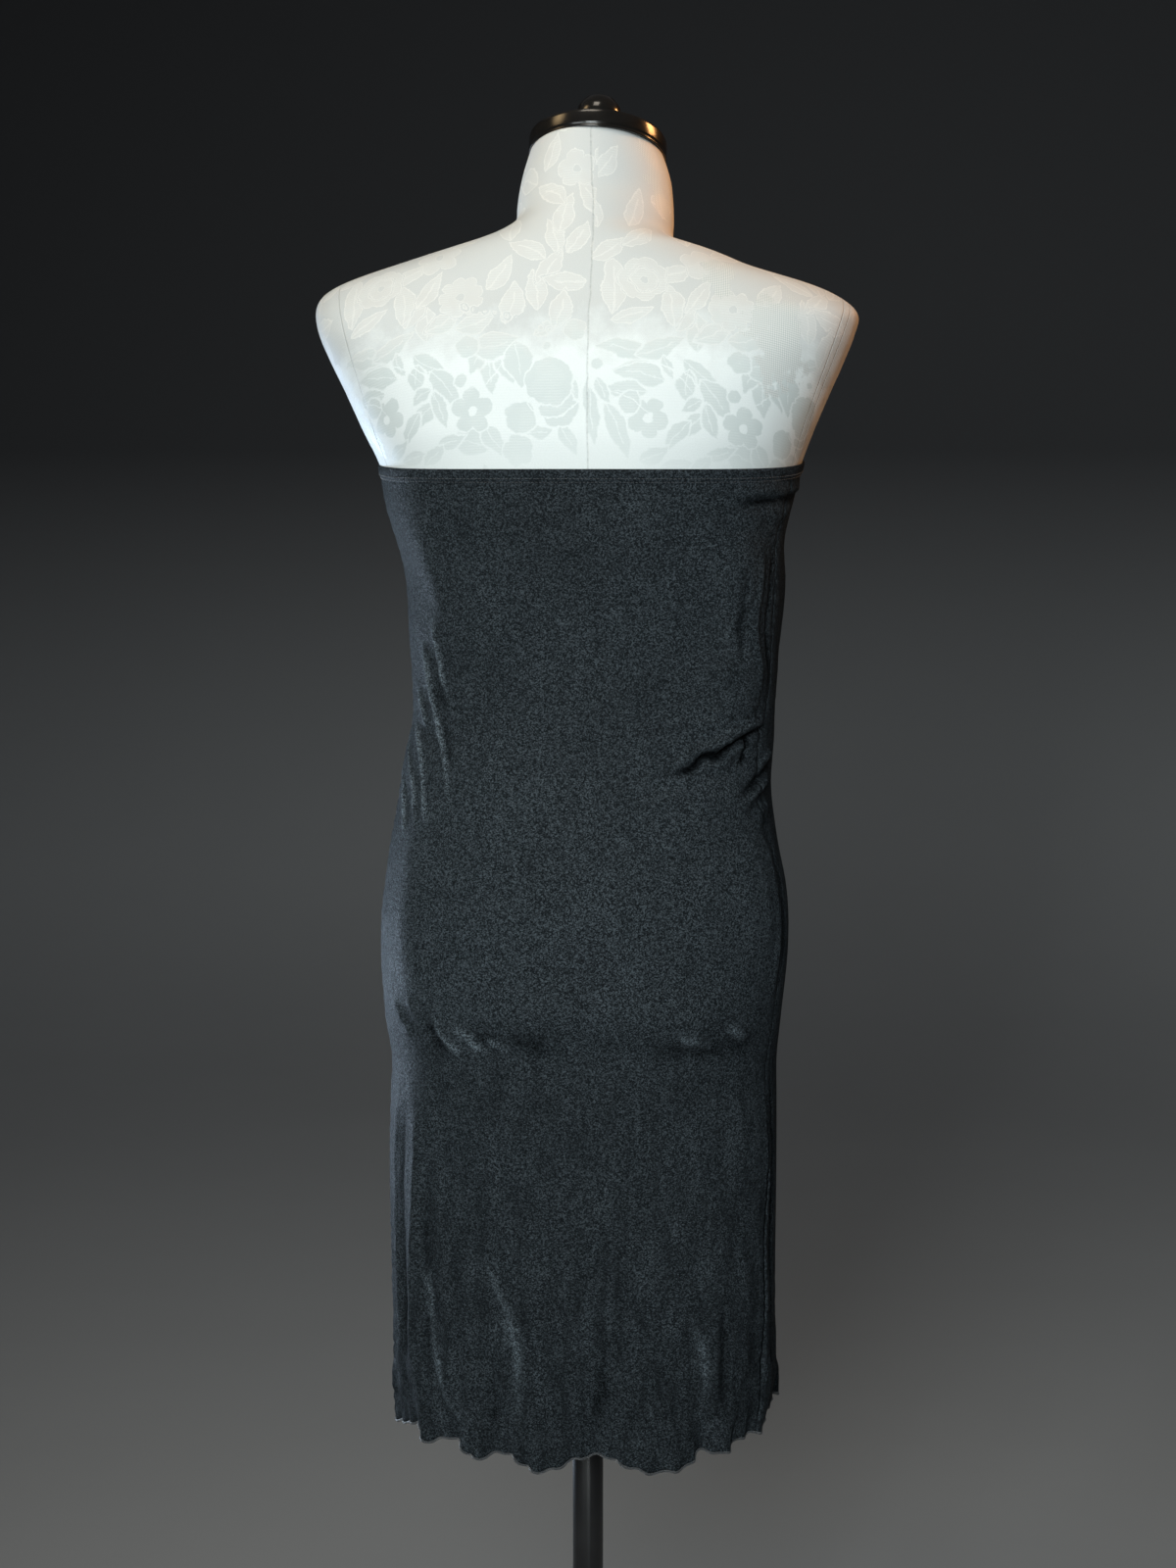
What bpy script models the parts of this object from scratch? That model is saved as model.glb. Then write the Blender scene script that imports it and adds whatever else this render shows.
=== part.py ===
"""A strapless tube dress of black stretch knit, worn by a limbless dress form on a round-base stand.

Metres, +Z up, the floor at z = 0. The form's front faces -Y and its own left side is +X.
An angle runs round a horizontal section: 0 at the left side, 90 degrees at centre back.
The form is lofted through the sections of FORM. The cloth's inner face stands off the form by EASE,
and its wall, bands and edges are made outwards from that face.
"""

from collections import namedtuple
from math import cos, exp, pi, radians, sin, tan

import bmesh
import bpy
from mathutils import Matrix, Vector

# Driving sizes of the dress.
TOP_EDGE_Z = 1.250
DRESS_LENGTH = 0.770
HEM_Z = TOP_EDGE_Z - DRESS_LENGTH
FRONT_RISE = 0.022
CLOTH_THICKNESS = 0.0012
BAND_HEIGHT = 0.010
BAND_THICKNESS = 0.0022
HEM_ROLL_RADIUS = 0.0012
HEM_ROLL_SIDES = 6
SEAM_GAP = 0.0004

# Driving sizes of the form and its stand.
TORSO_BOTTOM_Z = 0.775
NECK_TOP_Z = 1.489
CAP_OVERHANG = 0.0010
CAP_HEIGHT = 0.0150
CAP_CROWN = 0.0030
KNOB_RADIUS = 0.0182
KNOB_HEIGHT = 0.0340
BASE_RADIUS = 0.175
BASE_RIM_HEIGHT = 0.009
BASE_CENTRE_HEIGHT = 0.016
POLE_RADIUS = 0.0125
COLLAR_RADIUS = 0.024
COLLAR_HEIGHT = 0.040
SOCKET_RADIUS = 0.048
SOCKET_PLATE_HEIGHT = 0.006
SOCKET_TUBE_RADIUS = 0.019
SOCKET_HEIGHT = 0.040
FIT_GAP = 0.0003

# The form's horizontal sections: its reach to its own left and right, the y of its centre back and
# centre front, the y of its widest points, how square it is (2 is an ellipse), and the angle by which
# the section tips up at the back.
Form = namedtuple("Form", "z left right back front side_y square tilt")
FORM = [
    Form(0.775, 0.1475, 0.1475, 0.0960, -0.0840, 0.000, 2.30, 0),
    Form(0.782, 0.1535, 0.1490, 0.1020, -0.0890, 0.000, 2.30, 0),
    Form(0.800, 0.1575, 0.1508, 0.1075, -0.0920, 0.000, 2.30, 0),
    Form(0.827, 0.1605, 0.1535, 0.1135, -0.0950, 0.000, 2.28, 0),
    Form(0.860, 0.1625, 0.1568, 0.1180, -0.0980, 0.000, 2.25, 0),
    Form(0.890, 0.1620, 0.1580, 0.1195, -0.1000, 0.000, 2.25, 0),
    Form(0.922, 0.1580, 0.1555, 0.1175, -0.1020, 0.000, 2.25, 0),
    Form(0.954, 0.1520, 0.1490, 0.1110, -0.1030, 0.000, 2.22, 0),
    Form(0.985, 0.1440, 0.1420, 0.1025, -0.1010, 0.000, 2.20, 0),
    Form(1.017, 0.1380, 0.1370, 0.0925, -0.0970, 0.000, 2.20, 0),
    Form(1.048, 0.1350, 0.1350, 0.0855, -0.0930, 0.000, 2.20, 0),
    Form(1.079, 0.1362, 0.1362, 0.0850, -0.0940, 0.000, 2.22, 0),
    Form(1.118, 0.1395, 0.1405, 0.0900, -0.0990, 0.000, 2.28, 0),
    Form(1.157, 0.1405, 0.1445, 0.0965, -0.1060, 0.000, 2.35, 0),
    Form(1.187, 0.1460, 0.1490, 0.1015, -0.1110, 0.000, 2.42, 0),
    Form(1.218, 0.1545, 0.1570, 0.1055, -0.1140, 0.000, 2.50, 0),
    Form(1.250, 0.1610, 0.1655, 0.1085, -0.1120, 0.002, 2.60, 0),
    Form(1.280, 0.1740, 0.1765, 0.1105, -0.1050, 0.006, 2.80, 0),
    Form(1.309, 0.1865, 0.1890, 0.1105, -0.0950, 0.010, 2.90, 0),
    Form(1.335, 0.1990, 0.2005, 0.1080, -0.0840, 0.013, 2.90, 0),
    Form(1.355, 0.2075, 0.2080, 0.1030, -0.0750, 0.014, 2.80, 0),
    Form(1.366, 0.2100, 0.2100, 0.0985, -0.0695, 0.014, 2.65, 2),
    Form(1.377, 0.2095, 0.1995, 0.0930, -0.0640, 0.014, 2.40, 2),
    Form(1.388, 0.1965, 0.1760, 0.0865, -0.0590, 0.012, 2.20, 5),
    Form(1.400, 0.1590, 0.1320, 0.0790, -0.0560, 0.010, 2.10, 9),
    Form(1.411, 0.1190, 0.1050, 0.0715, -0.0560, 0.006, 2.00, 12),
    Form(1.423, 0.0720, 0.0640, 0.0630, -0.0580, 0.001, 2.00, 15),
    Form(1.434, 0.0555, 0.0665, 0.0560, -0.0600, -0.002, 2.00, 18),
    Form(1.448, 0.0555, 0.0660, 0.0480, -0.0640, -0.006, 2.00, 19),
    Form(1.470, 0.0525, 0.0635, 0.0420, -0.0680, -0.012, 2.00, 19),
    Form(1.489, 0.0472, 0.0573, 0.0365, -0.0705, -0.018, 2.00, 19),
]

# How far the cloth's inner face stands off the form at its left, right, centre back and centre front.
# Below the form's bottom the cloth hangs free, and stands off the form's lowest full section.
Ease = namedtuple("Ease", "z left right back front")
EASE = [
    Ease(0.480, -0.0030, 0.0000, 0.0110, 0.0160),
    Ease(0.518, 0.0010, 0.0035, 0.0100, 0.0150),
    Ease(0.600, 0.0040, 0.0010, 0.0085, 0.0145),
    Ease(0.682, 0.0055, 0.0018, 0.0075, 0.0140),
    Ease(0.763, 0.0035, 0.0010, 0.0085, 0.0135),
    Ease(0.782, 0.0022, 0.0008, 0.0090, 0.0125),
    Ease(0.800, 0.0016, 0.0007, 0.0050, 0.0110),
    Ease(0.827, 0.0016, 0.0007, 0.0022, 0.0085),
    Ease(0.860, 0.0018, 0.0006, 0.0006, 0.0060),
    Ease(0.890, 0.0022, 0.0007, 0.0006, 0.0045),
    Ease(0.922, 0.0027, 0.0008, 0.0008, 0.0025),
    Ease(0.954, 0.0044, 0.0006, 0.0018, 0.0015),
    Ease(0.985, 0.0065, 0.0007, 0.0045, 0.0035),
    Ease(1.017, 0.0083, 0.0048, 0.0070, 0.0075),
    Ease(1.048, 0.0043, 0.0104, 0.0075, 0.0125),
    Ease(1.079, 0.0020, 0.0109, 0.0050, 0.0160),
    Ease(1.118, 0.0009, 0.0081, 0.0020, 0.0180),
    Ease(1.157, 0.0007, 0.0072, 0.0009, 0.0180),
    Ease(1.187, 0.0008, 0.0027, 0.0007, 0.0165),
    Ease(1.218, 0.0014, 0.0007, 0.0006, 0.0150),
    Ease(1.235, 0.0006, 0.0006, 0.0006, 0.0140),
    Ease(1.250, 0.0006, 0.0006, 0.0006, 0.0120),
]
HANG_SECTION_Z = 0.782

# The side seams wander: their angles, in degrees, behind the form's left and right sides.
Seam = namedtuple("Seam", "z left right")
SEAMS = [
    Seam(0.480, 9, 24),
    Seam(0.600, 9, 22),
    Seam(0.763, 9, 19),
    Seam(0.827, 8, 14),
    Seam(0.922, 8, 12),
    Seam(0.970, 8, 14),
    Seam(1.017, 8, 20),
    Seam(1.048, 8, 20),
    Seam(1.079, 8, 15),
    Seam(1.157, 8, 14),
    Seam(1.250, 8, 14),
]

# The bust is a pair of mounds. The cloth spans the hollow between them, so its own are lower.
BUST_Z = 1.213
BUST_HALF_SPAN = 0.078
BUST_REACH_ACROSS = 0.044
BUST_REACH_UP = 0.056
BUST_REACH_DOWN = 0.042
BUST_HEIGHT = 0.030
CLOTH_BUST_HEIGHT = 0.0185

# The largest soft folds, as ridges between two places on the cloth (angle in degrees, height).
Fold = namedtuple("Fold", "angle z end_angle end_z half_width height")
FOLDS = [
    Fold(190, 1.035, 262, 1.120, 0.020, 0.0045),
    Fold(190, 1.020, 282, 1.040, 0.022, 0.0055),
    Fold(189, 1.005, 266, 0.955, 0.022, 0.0050),
    Fold(188, 0.990, 236, 0.870, 0.020, 0.0040),
    Fold(168, 1.020, 122, 0.985, 0.016, 0.0030),
    Fold(214, 0.740, 218, 0.500, 0.024, 0.0050),
    Fold(262, 0.700, 258, 0.500, 0.026, 0.0045),
    Fold(318, 0.730, 322, 0.500, 0.024, 0.0050),
    Fold(36, 0.720, 34, 0.500, 0.022, 0.0035),
    Fold(78, 0.640, 76, 0.500, 0.024, 0.0030),
    Fold(134, 0.680, 137, 0.500, 0.022, 0.0035),
]
FOLD_ARC = 0.130

# The lettuce edge: how far the hem is lifted, and swung out, at angles in degrees round it.
Scallop = namedtuple("Scallop", "angle lift out")
SCALLOPS = [
    Scallop(8, 0.001, 0.003),
    Scallop(22, 0.008, -0.002),
    Scallop(34, 0.014, -0.004),
    Scallop(43, 0.007, 0.005),
    Scallop(53, 0.014, -0.003),
    Scallop(64, 0.003, 0.005),
    Scallop(72, 0.009, -0.003),
    Scallop(83, -0.002, 0.004),
    Scallop(95, 0.011, -0.005),
    Scallop(103, 0.006, 0.001),
    Scallop(111, -0.001, 0.005),
    Scallop(122, -0.001, 0.002),
    Scallop(129, 0.010, -0.005),
    Scallop(139, 0.006, 0.004),
    Scallop(150, 0.014, -0.003),
    Scallop(158, 0.013, 0.003),
    Scallop(169, 0.020, -0.003),
    Scallop(182, 0.022, 0.000),
    Scallop(192, 0.019, 0.005),
    Scallop(203, 0.024, -0.003),
    Scallop(214, 0.012, 0.005),
    Scallop(227, 0.020, -0.004),
    Scallop(238, 0.009, 0.005),
    Scallop(248, 0.017, -0.002),
    Scallop(259, 0.008, 0.004),
    Scallop(272, 0.018, -0.005),
    Scallop(284, 0.007, 0.005),
    Scallop(294, 0.015, -0.002),
    Scallop(304, 0.010, 0.003),
    Scallop(317, 0.018, -0.004),
    Scallop(329, 0.007, 0.005),
    Scallop(343, 0.011, -0.003),
    Scallop(355, 0.002, 0.001),
    Scallop(368, 0.001, 0.003),
]
SCALLOP_TOP_Z = 0.575

# How finely the surfaces are divided. The cloth has twice the columns near its hem.
BACK_COLUMNS = 16
FRONT_COLUMNS = 26
BODY_ROWS = 27
HEM_ZONE_Z = 0.592
HEM_ROWS = 7
TURNED_STEPS = 48
ABOVE_DRESS_ROWS = 25
RISE_FADE_BELOW = 0.120
RISE_FADE_ABOVE = 0.060

BLACK_KNIT = ("black_knit", (0.012, 0.013, 0.016), 0.55, 0.0)
WHITE_JACQUARD = ("white_jacquard", (0.80, 0.80, 0.77), 0.60, 0.0)
GLOSS_BLACK = ("gloss_black", (0.010, 0.009, 0.008), 0.18, 0.0)
BLACK_METAL = ("black_metal", (0.020, 0.020, 0.021), 0.40, 0.7)


def clear_scene():
    for thing in list(bpy.data.objects):
        bpy.data.objects.remove(thing)


def make_material(name, colour, roughness, metallic):
    material = bpy.data.materials.new(name)
    material.use_nodes = True
    shader = material.node_tree.nodes["Principled BSDF"]
    shader.inputs["Base Color"].default_value = (*colour, 1)
    shader.inputs["Roughness"].default_value = roughness
    shader.inputs["Metallic"].default_value = metallic
    return material


def step_up(share):
    """0 below 0, 1 above 1, and a smooth step between."""
    share = min(1.0, max(0.0, share))
    return share * share * (3 - 2 * share)


def slopes(heights, values):
    """Slopes of a curve through the points that never overshoots them."""
    steps = [b - a for a, b in zip(heights, heights[1:])]
    rises = [(b - a) / s for a, b, s in zip(values, values[1:], steps)]
    found = [rises[0]]
    for i in range(1, len(rises)):
        same_way = rises[i - 1] * rises[i] > 0
        mean = 2 / (1 / rises[i - 1] + 1 / rises[i]) if same_way else 0.0
        found.append(mean)
    return found + [rises[-1]]


def smooth_columns(table):
    """For each column of a table after its first, the first's values, its own values and slopes."""
    heights = [row[0] for row in table]
    columns = {}
    for name in table[0]._fields[1:]:
        values = [getattr(row, name) for row in table]
        columns[name] = (heights, values, slopes(heights, values))
    return columns


def value_at(column, z):
    """A column's value at height z, held level past the table's ends."""
    heights, values, rises = column
    z = min(heights[-1], max(heights[0], z))
    i = max(k for k in range(len(heights) - 1) if heights[k] <= z)
    step = heights[i + 1] - heights[i]
    u = (z - heights[i]) / step
    return (
        (1 + 2 * u) * (1 - u) ** 2 * values[i]
        + u * (1 - u) ** 2 * step * rises[i]
        + u * u * (3 - 2 * u) * values[i + 1]
        + u * u * (u - 1) * step * rises[i + 1]
    )


FORM_COLUMNS = smooth_columns(FORM)
EASE_COLUMNS = smooth_columns(EASE)
SEAM_COLUMNS = smooth_columns(SEAMS)
SCALLOP_COLUMNS = smooth_columns(SCALLOPS)


def power(value, exponent):
    return abs(value) ** exponent * (1 if value > 0 else -1)


def bust_push(x, z, height):
    across = (abs(x) - BUST_HALF_SPAN) / BUST_REACH_ACROSS
    reach = BUST_REACH_UP if z > BUST_Z else BUST_REACH_DOWN
    return height * exp(-across * across - ((z - BUST_Z) / reach) ** 2)


def section_point(angle, z, ease, bust_height):
    """A point of the form's section at height z, let out by ease (left, right, back, front)."""
    reach_left, reach_right, back, front, side_y, square, tilt = (
        value_at(FORM_COLUMNS[name], z) for name in Form._fields[1:]
    )
    left, right, behind, before = ease
    c, s = cos(angle), sin(angle)
    x = (reach_left + left if c > 0 else reach_right + right) * power(c, 2 / square)
    depth = back + behind - side_y if s > 0 else side_y - front + before
    y = side_y + depth * power(s, 2 / square)
    if s < 0:
        y += s * bust_push(x, z, bust_height)
    return Vector((x, y, z + tan(radians(tilt)) * (y - side_y)))


def row_rise(angle, z):
    """The top edge climbs from centre back to centre front, and the rows near it climb with it."""
    climb = FRONT_RISE * ((1 - sin(angle)) / 2) ** 2
    fade = RISE_FADE_BELOW if z < TOP_EDGE_Z else RISE_FADE_ABOVE
    return climb * step_up(1 - abs(z - TOP_EDGE_Z) / fade)


def form_point(angle, z):
    return section_point(angle, z + row_rise(angle, z), (0, 0, 0, 0), BUST_HEIGHT)


def fold_push(angle, z):
    """How far the soft folds lift the cloth at an angle and height."""
    push = 0.0
    for fold in FOLDS:
        start = Vector((radians(fold.angle) * FOLD_ARC, fold.z))
        run = Vector((radians(fold.end_angle) * FOLD_ARC, fold.end_z)) - start
        for turn in (0, 2 * pi):
            offset = Vector(((angle + turn) * FOLD_ARC, z)) - start
            along = offset.dot(run) / run.length_squared
            if -0.2 < along < 1.2:
                across = (offset - along * run).length / fold.half_width
                taper = step_up((along + 0.2) / 0.5) * step_up((1.2 - along) / 0.5)
                push += fold.height * taper * exp(-across * across)
    return push


def scallop(angle, z):
    """How far the lettuce edge swings the cloth out, and lifts it, at an angle and height."""
    first = SCALLOPS[0].angle
    turned = (angle / radians(1) - first) % 360 + first
    share = step_up((SCALLOP_TOP_Z - z) / (SCALLOP_TOP_Z - HEM_Z)) ** 2
    return [share * value_at(SCALLOP_COLUMNS[name], turned) for name in ("out", "lift")]


def outward(angle):
    """The level direction that the cloth faces at an angle."""
    return Vector((cos(angle) / 1.5, sin(angle), 0)).normalized()


def cloth_point(angle, z):
    """A point of the cloth's inner face."""
    z_row = z + row_rise(angle, z)
    ease = [value_at(EASE_COLUMNS[name], z_row) for name in Ease._fields[1:]]
    point = section_point(angle, max(z_row, HANG_SECTION_Z), ease, CLOTH_BUST_HEIGHT)
    swing, lift = scallop(angle, z)
    point.z = z_row + lift
    return point + outward(angle) * (fold_push(angle % (2 * pi), z) + swing)


def even_steps(start, end, count):
    return [start + (end - start) * i / count for i in range(count + 1)]


def panel_angles(side, z, count, inset=SEAM_GAP / 2 / FOLD_ARC):
    """Column angles across a panel at height z, its two edges drawn in from the side seams."""
    left, right = (radians(value_at(SEAM_COLUMNS[name], z)) for name in ("left", "right"))
    start, end = (left, pi - right) if side == "back" else (pi - right, 2 * pi + left)
    angles = even_steps(start, end, count)
    return [start + inset, *angles[1:-1], end - inset]


def link(obj, material, collection):
    obj.data.materials.append(material)
    collection.objects.link(obj)
    return obj


def mesh_object(name, bm, material, collection):
    bmesh.ops.recalc_face_normals(bm, faces=bm.faces)
    mesh = bpy.data.meshes.new(name)
    bm.to_mesh(mesh)
    bm.free()
    mesh.shade_smooth()
    return link(bpy.data.objects.new(name, mesh), material, collection)


def bridge(bm, upper, lower):
    """Faces between two rows of points. The lower may have twice the upper's columns."""
    finer = (len(lower) - 1) // (len(upper) - 1)
    for i in range(len(upper) - 1):
        below = lower[i * finer : (i + 1) * finer + 1]
        bm.faces.new([upper[i + 1], upper[i], *below])


def sheet_object(name, rows, thickness, material, collection):
    """A wall made outwards from the open grid of its inner face."""
    bm = bmesh.new()
    grid = [[bm.verts.new(point) for point in row] for row in rows]
    for upper, lower in zip(grid, grid[1:]):
        bridge(bm, upper, lower)
    bm.normal_update()
    if sum(f.normal.xy.dot(f.calc_center_median().xy) for f in bm.faces) < 0:
        bmesh.ops.reverse_faces(bm, faces=bm.faces)
    mesh = bpy.data.meshes.new(name)
    bm.to_mesh(mesh)
    bm.free()
    mesh.shade_smooth()
    sheet = link(bpy.data.objects.new(name, mesh), material, collection)
    wall = sheet.modifiers.new("wall", "SOLIDIFY")
    wall.thickness = thickness
    wall.offset = 1
    wall.use_even_offset = True
    return sheet


def cloth_row(side, z, columns):
    return [cloth_point(angle, z) for angle in panel_angles(side, z, columns)]


def make_panel(side, columns, material, collection):
    """Front or back panel, from under the top band to the hem."""
    top = TOP_EDGE_Z - BAND_HEIGHT - SEAM_GAP
    body = even_steps(top, HEM_ZONE_Z, BODY_ROWS)
    hem = even_steps(HEM_ZONE_Z, HEM_Z, HEM_ROWS)[1:]
    rows = [cloth_row(side, z, columns) for z in body]
    rows += [cloth_row(side, z, 2 * columns) for z in hem]
    return sheet_object(f"{side}_panel", rows, CLOTH_THICKNESS, material, collection)


def make_top_band(side, columns, material, collection):
    """The turned-over elastic band along the top edge of one panel."""
    heights = (TOP_EDGE_Z, TOP_EDGE_Z - BAND_HEIGHT)
    rows = [cloth_row(side, z, columns) for z in heights]
    band = sheet_object(f"{side}_top_band", rows, BAND_THICKNESS, material, collection)
    rounding = band.modifiers.new("folded edge", "BEVEL")
    rounding.width = BAND_THICKNESS * 0.3
    rounding.segments = 2
    rounding.limit_method = "ANGLE"
    rounding.angle_limit = radians(60)
    return band


def make_hem_roll(side, columns, material, collection):
    """The rolled, overlocked lettuce edge that runs under one panel's hem."""
    bm = bmesh.new()
    rings = []
    for angle in panel_angles(side, HEM_Z, 2 * columns):
        out = outward(angle)
        drop = HEM_ROLL_RADIUS + SEAM_GAP
        centre = cloth_point(angle, HEM_Z) + out * CLOTH_THICKNESS / 2 - Vector((0, 0, drop))
        ring = []
        for i in range(HEM_ROLL_SIDES):
            turn = 2 * pi * i / HEM_ROLL_SIDES
            across = out * cos(turn) + Vector((0, 0, sin(turn)))
            ring.append(bm.verts.new(centre + HEM_ROLL_RADIUS * across))
        rings.append(ring)
    for ring, following in zip(rings, rings[1:]):
        for i in range(HEM_ROLL_SIDES):
            j = (i + 1) % HEM_ROLL_SIDES
            bm.faces.new([ring[i], ring[j], following[j], following[i]])
    bm.faces.new(rings[0])
    bm.faces.new(rings[-1])
    return mesh_object(f"{side}_hem_roll", bm, material, collection)


def torso_ring(z):
    """Points round the form at height z, in line with the columns of the cloth over it."""
    back = panel_angles("back", z, BACK_COLUMNS, 0)[:-1]
    front = panel_angles("front", z, FRONT_COLUMNS, 0)[:-1]
    return [form_point(angle, z) for angle in back + front]


def make_torso(material, collection):
    """The form's body, closed by a flat underside and a tipped neck face."""
    top = TOP_EDGE_Z - BAND_HEIGHT - SEAM_GAP
    under_cloth = [z for z in even_steps(top, HEM_ZONE_Z, BODY_ROWS) if z > FORM[1].z]
    above = even_steps(TOP_EDGE_Z, NECK_TOP_Z, ABOVE_DRESS_ROWS)
    heights = [FORM[0].z, FORM[1].z, *reversed(under_cloth), *above]
    bm = bmesh.new()
    rings = [[bm.verts.new(point) for point in torso_ring(z)] for z in heights]
    for lower, upper in zip(rings, rings[1:]):
        for i in range(len(lower)):
            j = (i + 1) % len(lower)
            bm.faces.new([lower[i], lower[j], upper[j], upper[i]])
    bm.faces.new(rings[0])
    bm.faces.new(rings[-1])
    return mesh_object("torso", bm, material, collection)


def make_turned(name, profile, material, collection, steps=TURNED_STEPS):
    """A solid turned about +Z from its outer profile, (radius, height) from top to bottom."""
    mesh = bpy.data.meshes.new(name)
    points = [(radius, 0, height) for radius, height in profile]
    mesh.from_pydata(points, [(i, i + 1) for i in range(len(points) - 1)], [])
    turned = link(bpy.data.objects.new(name, mesh), material, collection)
    screw = turned.modifiers.new("turn", "SCREW")
    screw.steps = screw.render_steps = steps
    screw.use_merge_vertices = True
    screw.merge_threshold = 0.00001
    return turned


def make_neck_cap(material, collection):
    """An oval cap on the tipped neck face."""
    neck = FORM[-1]
    radius = (neck.left + neck.right) / 2 + CAP_OVERHANG
    profile = [
        (0.0, CAP_HEIGHT + CAP_CROWN),
        (radius * 0.45, CAP_HEIGHT + CAP_CROWN * 0.8),
        (radius * 0.80, CAP_HEIGHT + CAP_CROWN * 0.3),
        (radius - 0.0035, CAP_HEIGHT - 0.0006),
        (radius - 0.0012, CAP_HEIGHT - 0.0024),
        (radius, CAP_HEIGHT - 0.0055),
        (radius, 0.0008),
        (radius - 0.0008, 0.0),
        (0.0, 0.0),
    ]
    cap = make_turned("neck_cap", profile, material, collection)
    stretch = (neck.back - neck.front) / (neck.left + neck.right)
    place_on_neck(cap, FIT_GAP, stretch)
    return cap


def place_on_neck(obj, above, stretch=1.0):
    """Stands a turned piece on the tipped neck face, drawn out to the neck's oval."""
    neck = FORM[-1]
    tip = radians(neck.tilt)
    centre = Vector(((neck.left - neck.right) / 2, (neck.back + neck.front) / 2, NECK_TOP_Z))
    centre.z += tan(tip) * (centre.y - neck.side_y)
    turn = Matrix.Rotation(tip, 4, "X")
    oval = Matrix.Diagonal((1, stretch / cos(tip), 1, 1))
    obj.matrix_world = Matrix.Translation(centre) @ turn @ Matrix.Translation((0, 0, above)) @ oval


def make_cap_knob(material, collection):
    """A ball knob on a short foot, in the middle of the cap."""
    profile = [
        (0.0, KNOB_HEIGHT),
        (KNOB_RADIUS * 0.38, KNOB_HEIGHT * 0.965),
        (KNOB_RADIUS * 0.70, KNOB_HEIGHT * 0.86),
        (KNOB_RADIUS * 0.92, KNOB_HEIGHT * 0.69),
        (KNOB_RADIUS, KNOB_HEIGHT * 0.50),
        (KNOB_RADIUS * 0.93, KNOB_HEIGHT * 0.31),
        (KNOB_RADIUS * 0.72, KNOB_HEIGHT * 0.16),
        (KNOB_RADIUS * 0.62, KNOB_HEIGHT * 0.11),
        (KNOB_RADIUS * 0.68, KNOB_HEIGHT * 0.06),
        (KNOB_RADIUS * 0.68, 0.0),
        (0.0, 0.0),
    ]
    knob = make_turned("cap_knob", profile, material, collection, 32)
    place_on_neck(knob, CAP_HEIGHT + CAP_CROWN + 2 * FIT_GAP)
    return knob


def make_pole(material, collection):
    """The round pole, from the base up to the torso's underside."""
    foot = BASE_CENTRE_HEIGHT + FIT_GAP
    length = TORSO_BOTTOM_Z - FIT_GAP - foot
    bm = bmesh.new()
    size = {"radius1": POLE_RADIUS, "radius2": POLE_RADIUS, "depth": length}
    bmesh.ops.create_cone(bm, cap_ends=True, segments=24, **size)
    pole = mesh_object("pole", bm, material, collection)
    pole.location.z = foot + length / 2


def make_pole_fittings(material, collection):
    """The collar on the base and the socket under the torso, each a sleeve round the pole."""
    bore = POLE_RADIUS + FIT_GAP
    collar = [
        (bore, COLLAR_HEIGHT),
        (COLLAR_RADIUS * 0.70, COLLAR_HEIGHT),
        (COLLAR_RADIUS * 0.78, COLLAR_HEIGHT - 0.002),
        (COLLAR_RADIUS * 0.82, COLLAR_HEIGHT * 0.30),
        (COLLAR_RADIUS, COLLAR_HEIGHT * 0.20),
        (COLLAR_RADIUS, 0.0),
        (bore, 0.0),
        (bore, COLLAR_HEIGHT),
    ]
    plate_foot = SOCKET_HEIGHT - SOCKET_PLATE_HEIGHT
    socket = [
        (bore, SOCKET_HEIGHT),
        (SOCKET_RADIUS, SOCKET_HEIGHT),
        (SOCKET_RADIUS, plate_foot),
        (SOCKET_TUBE_RADIUS, plate_foot - 0.003),
        (SOCKET_TUBE_RADIUS, 0.0),
        (bore, 0.0),
        (bore, SOCKET_HEIGHT),
    ]
    lower = make_turned("pole_collar", collar, material, collection, 32)
    lower.location.z = BASE_CENTRE_HEIGHT + FIT_GAP
    upper = make_turned("pole_socket", socket, material, collection, 32)
    upper.location.z = TORSO_BOTTOM_Z - FIT_GAP - SOCKET_HEIGHT


def make_base(material, collection):
    """A round base, thickest in the middle, flat underneath."""
    profile = [
        (0.0, BASE_CENTRE_HEIGHT),
        (COLLAR_RADIUS + 0.006, BASE_CENTRE_HEIGHT),
        (BASE_RADIUS * 0.60, (BASE_CENTRE_HEIGHT + BASE_RIM_HEIGHT) / 2),
        (BASE_RADIUS * 0.94, BASE_RIM_HEIGHT),
        (BASE_RADIUS - 0.002, BASE_RIM_HEIGHT - 0.002),
        (BASE_RADIUS, BASE_RIM_HEIGHT - 0.005),
        (BASE_RADIUS, 0.001),
        (BASE_RADIUS - 0.001, 0.0),
        (0.0, 0.0),
    ]
    make_turned("base", profile, material, collection)


def main():
    clear_scene()
    collection = bpy.data.collections.new("strapless_dress_on_dress_form")
    bpy.context.scene.collection.children.link(collection)
    knit = make_material(*BLACK_KNIT)
    jacquard = make_material(*WHITE_JACQUARD)
    gloss = make_material(*GLOSS_BLACK)
    metal = make_material(*BLACK_METAL)
    for side, columns in (("back", BACK_COLUMNS), ("front", FRONT_COLUMNS)):
        make_panel(side, columns, knit, collection)
        make_top_band(side, columns, knit, collection)
        make_hem_roll(side, columns, knit, collection)
    make_torso(jacquard, collection)
    make_neck_cap(gloss, collection)
    make_cap_knob(gloss, collection)
    make_pole(metal, collection)
    make_pole_fittings(metal, collection)
    make_base(metal, collection)


main()
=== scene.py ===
"""A black stretch-knit strapless dress on a white damask dress form, dressed over the CAD frame.

Metres, +Z up. The form's front faces -Y and its own left side is +X, so its back is seen from +Y.
The cloth's shape comes from the CAD panels: their rows of corners are joined by smooth curves, and
the creases, puckers and edges are then laid on.
"""

from collections import Counter, defaultdict, namedtuple
from functools import partialmethod
from math import atan2, cos, pi, radians, sin

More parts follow.
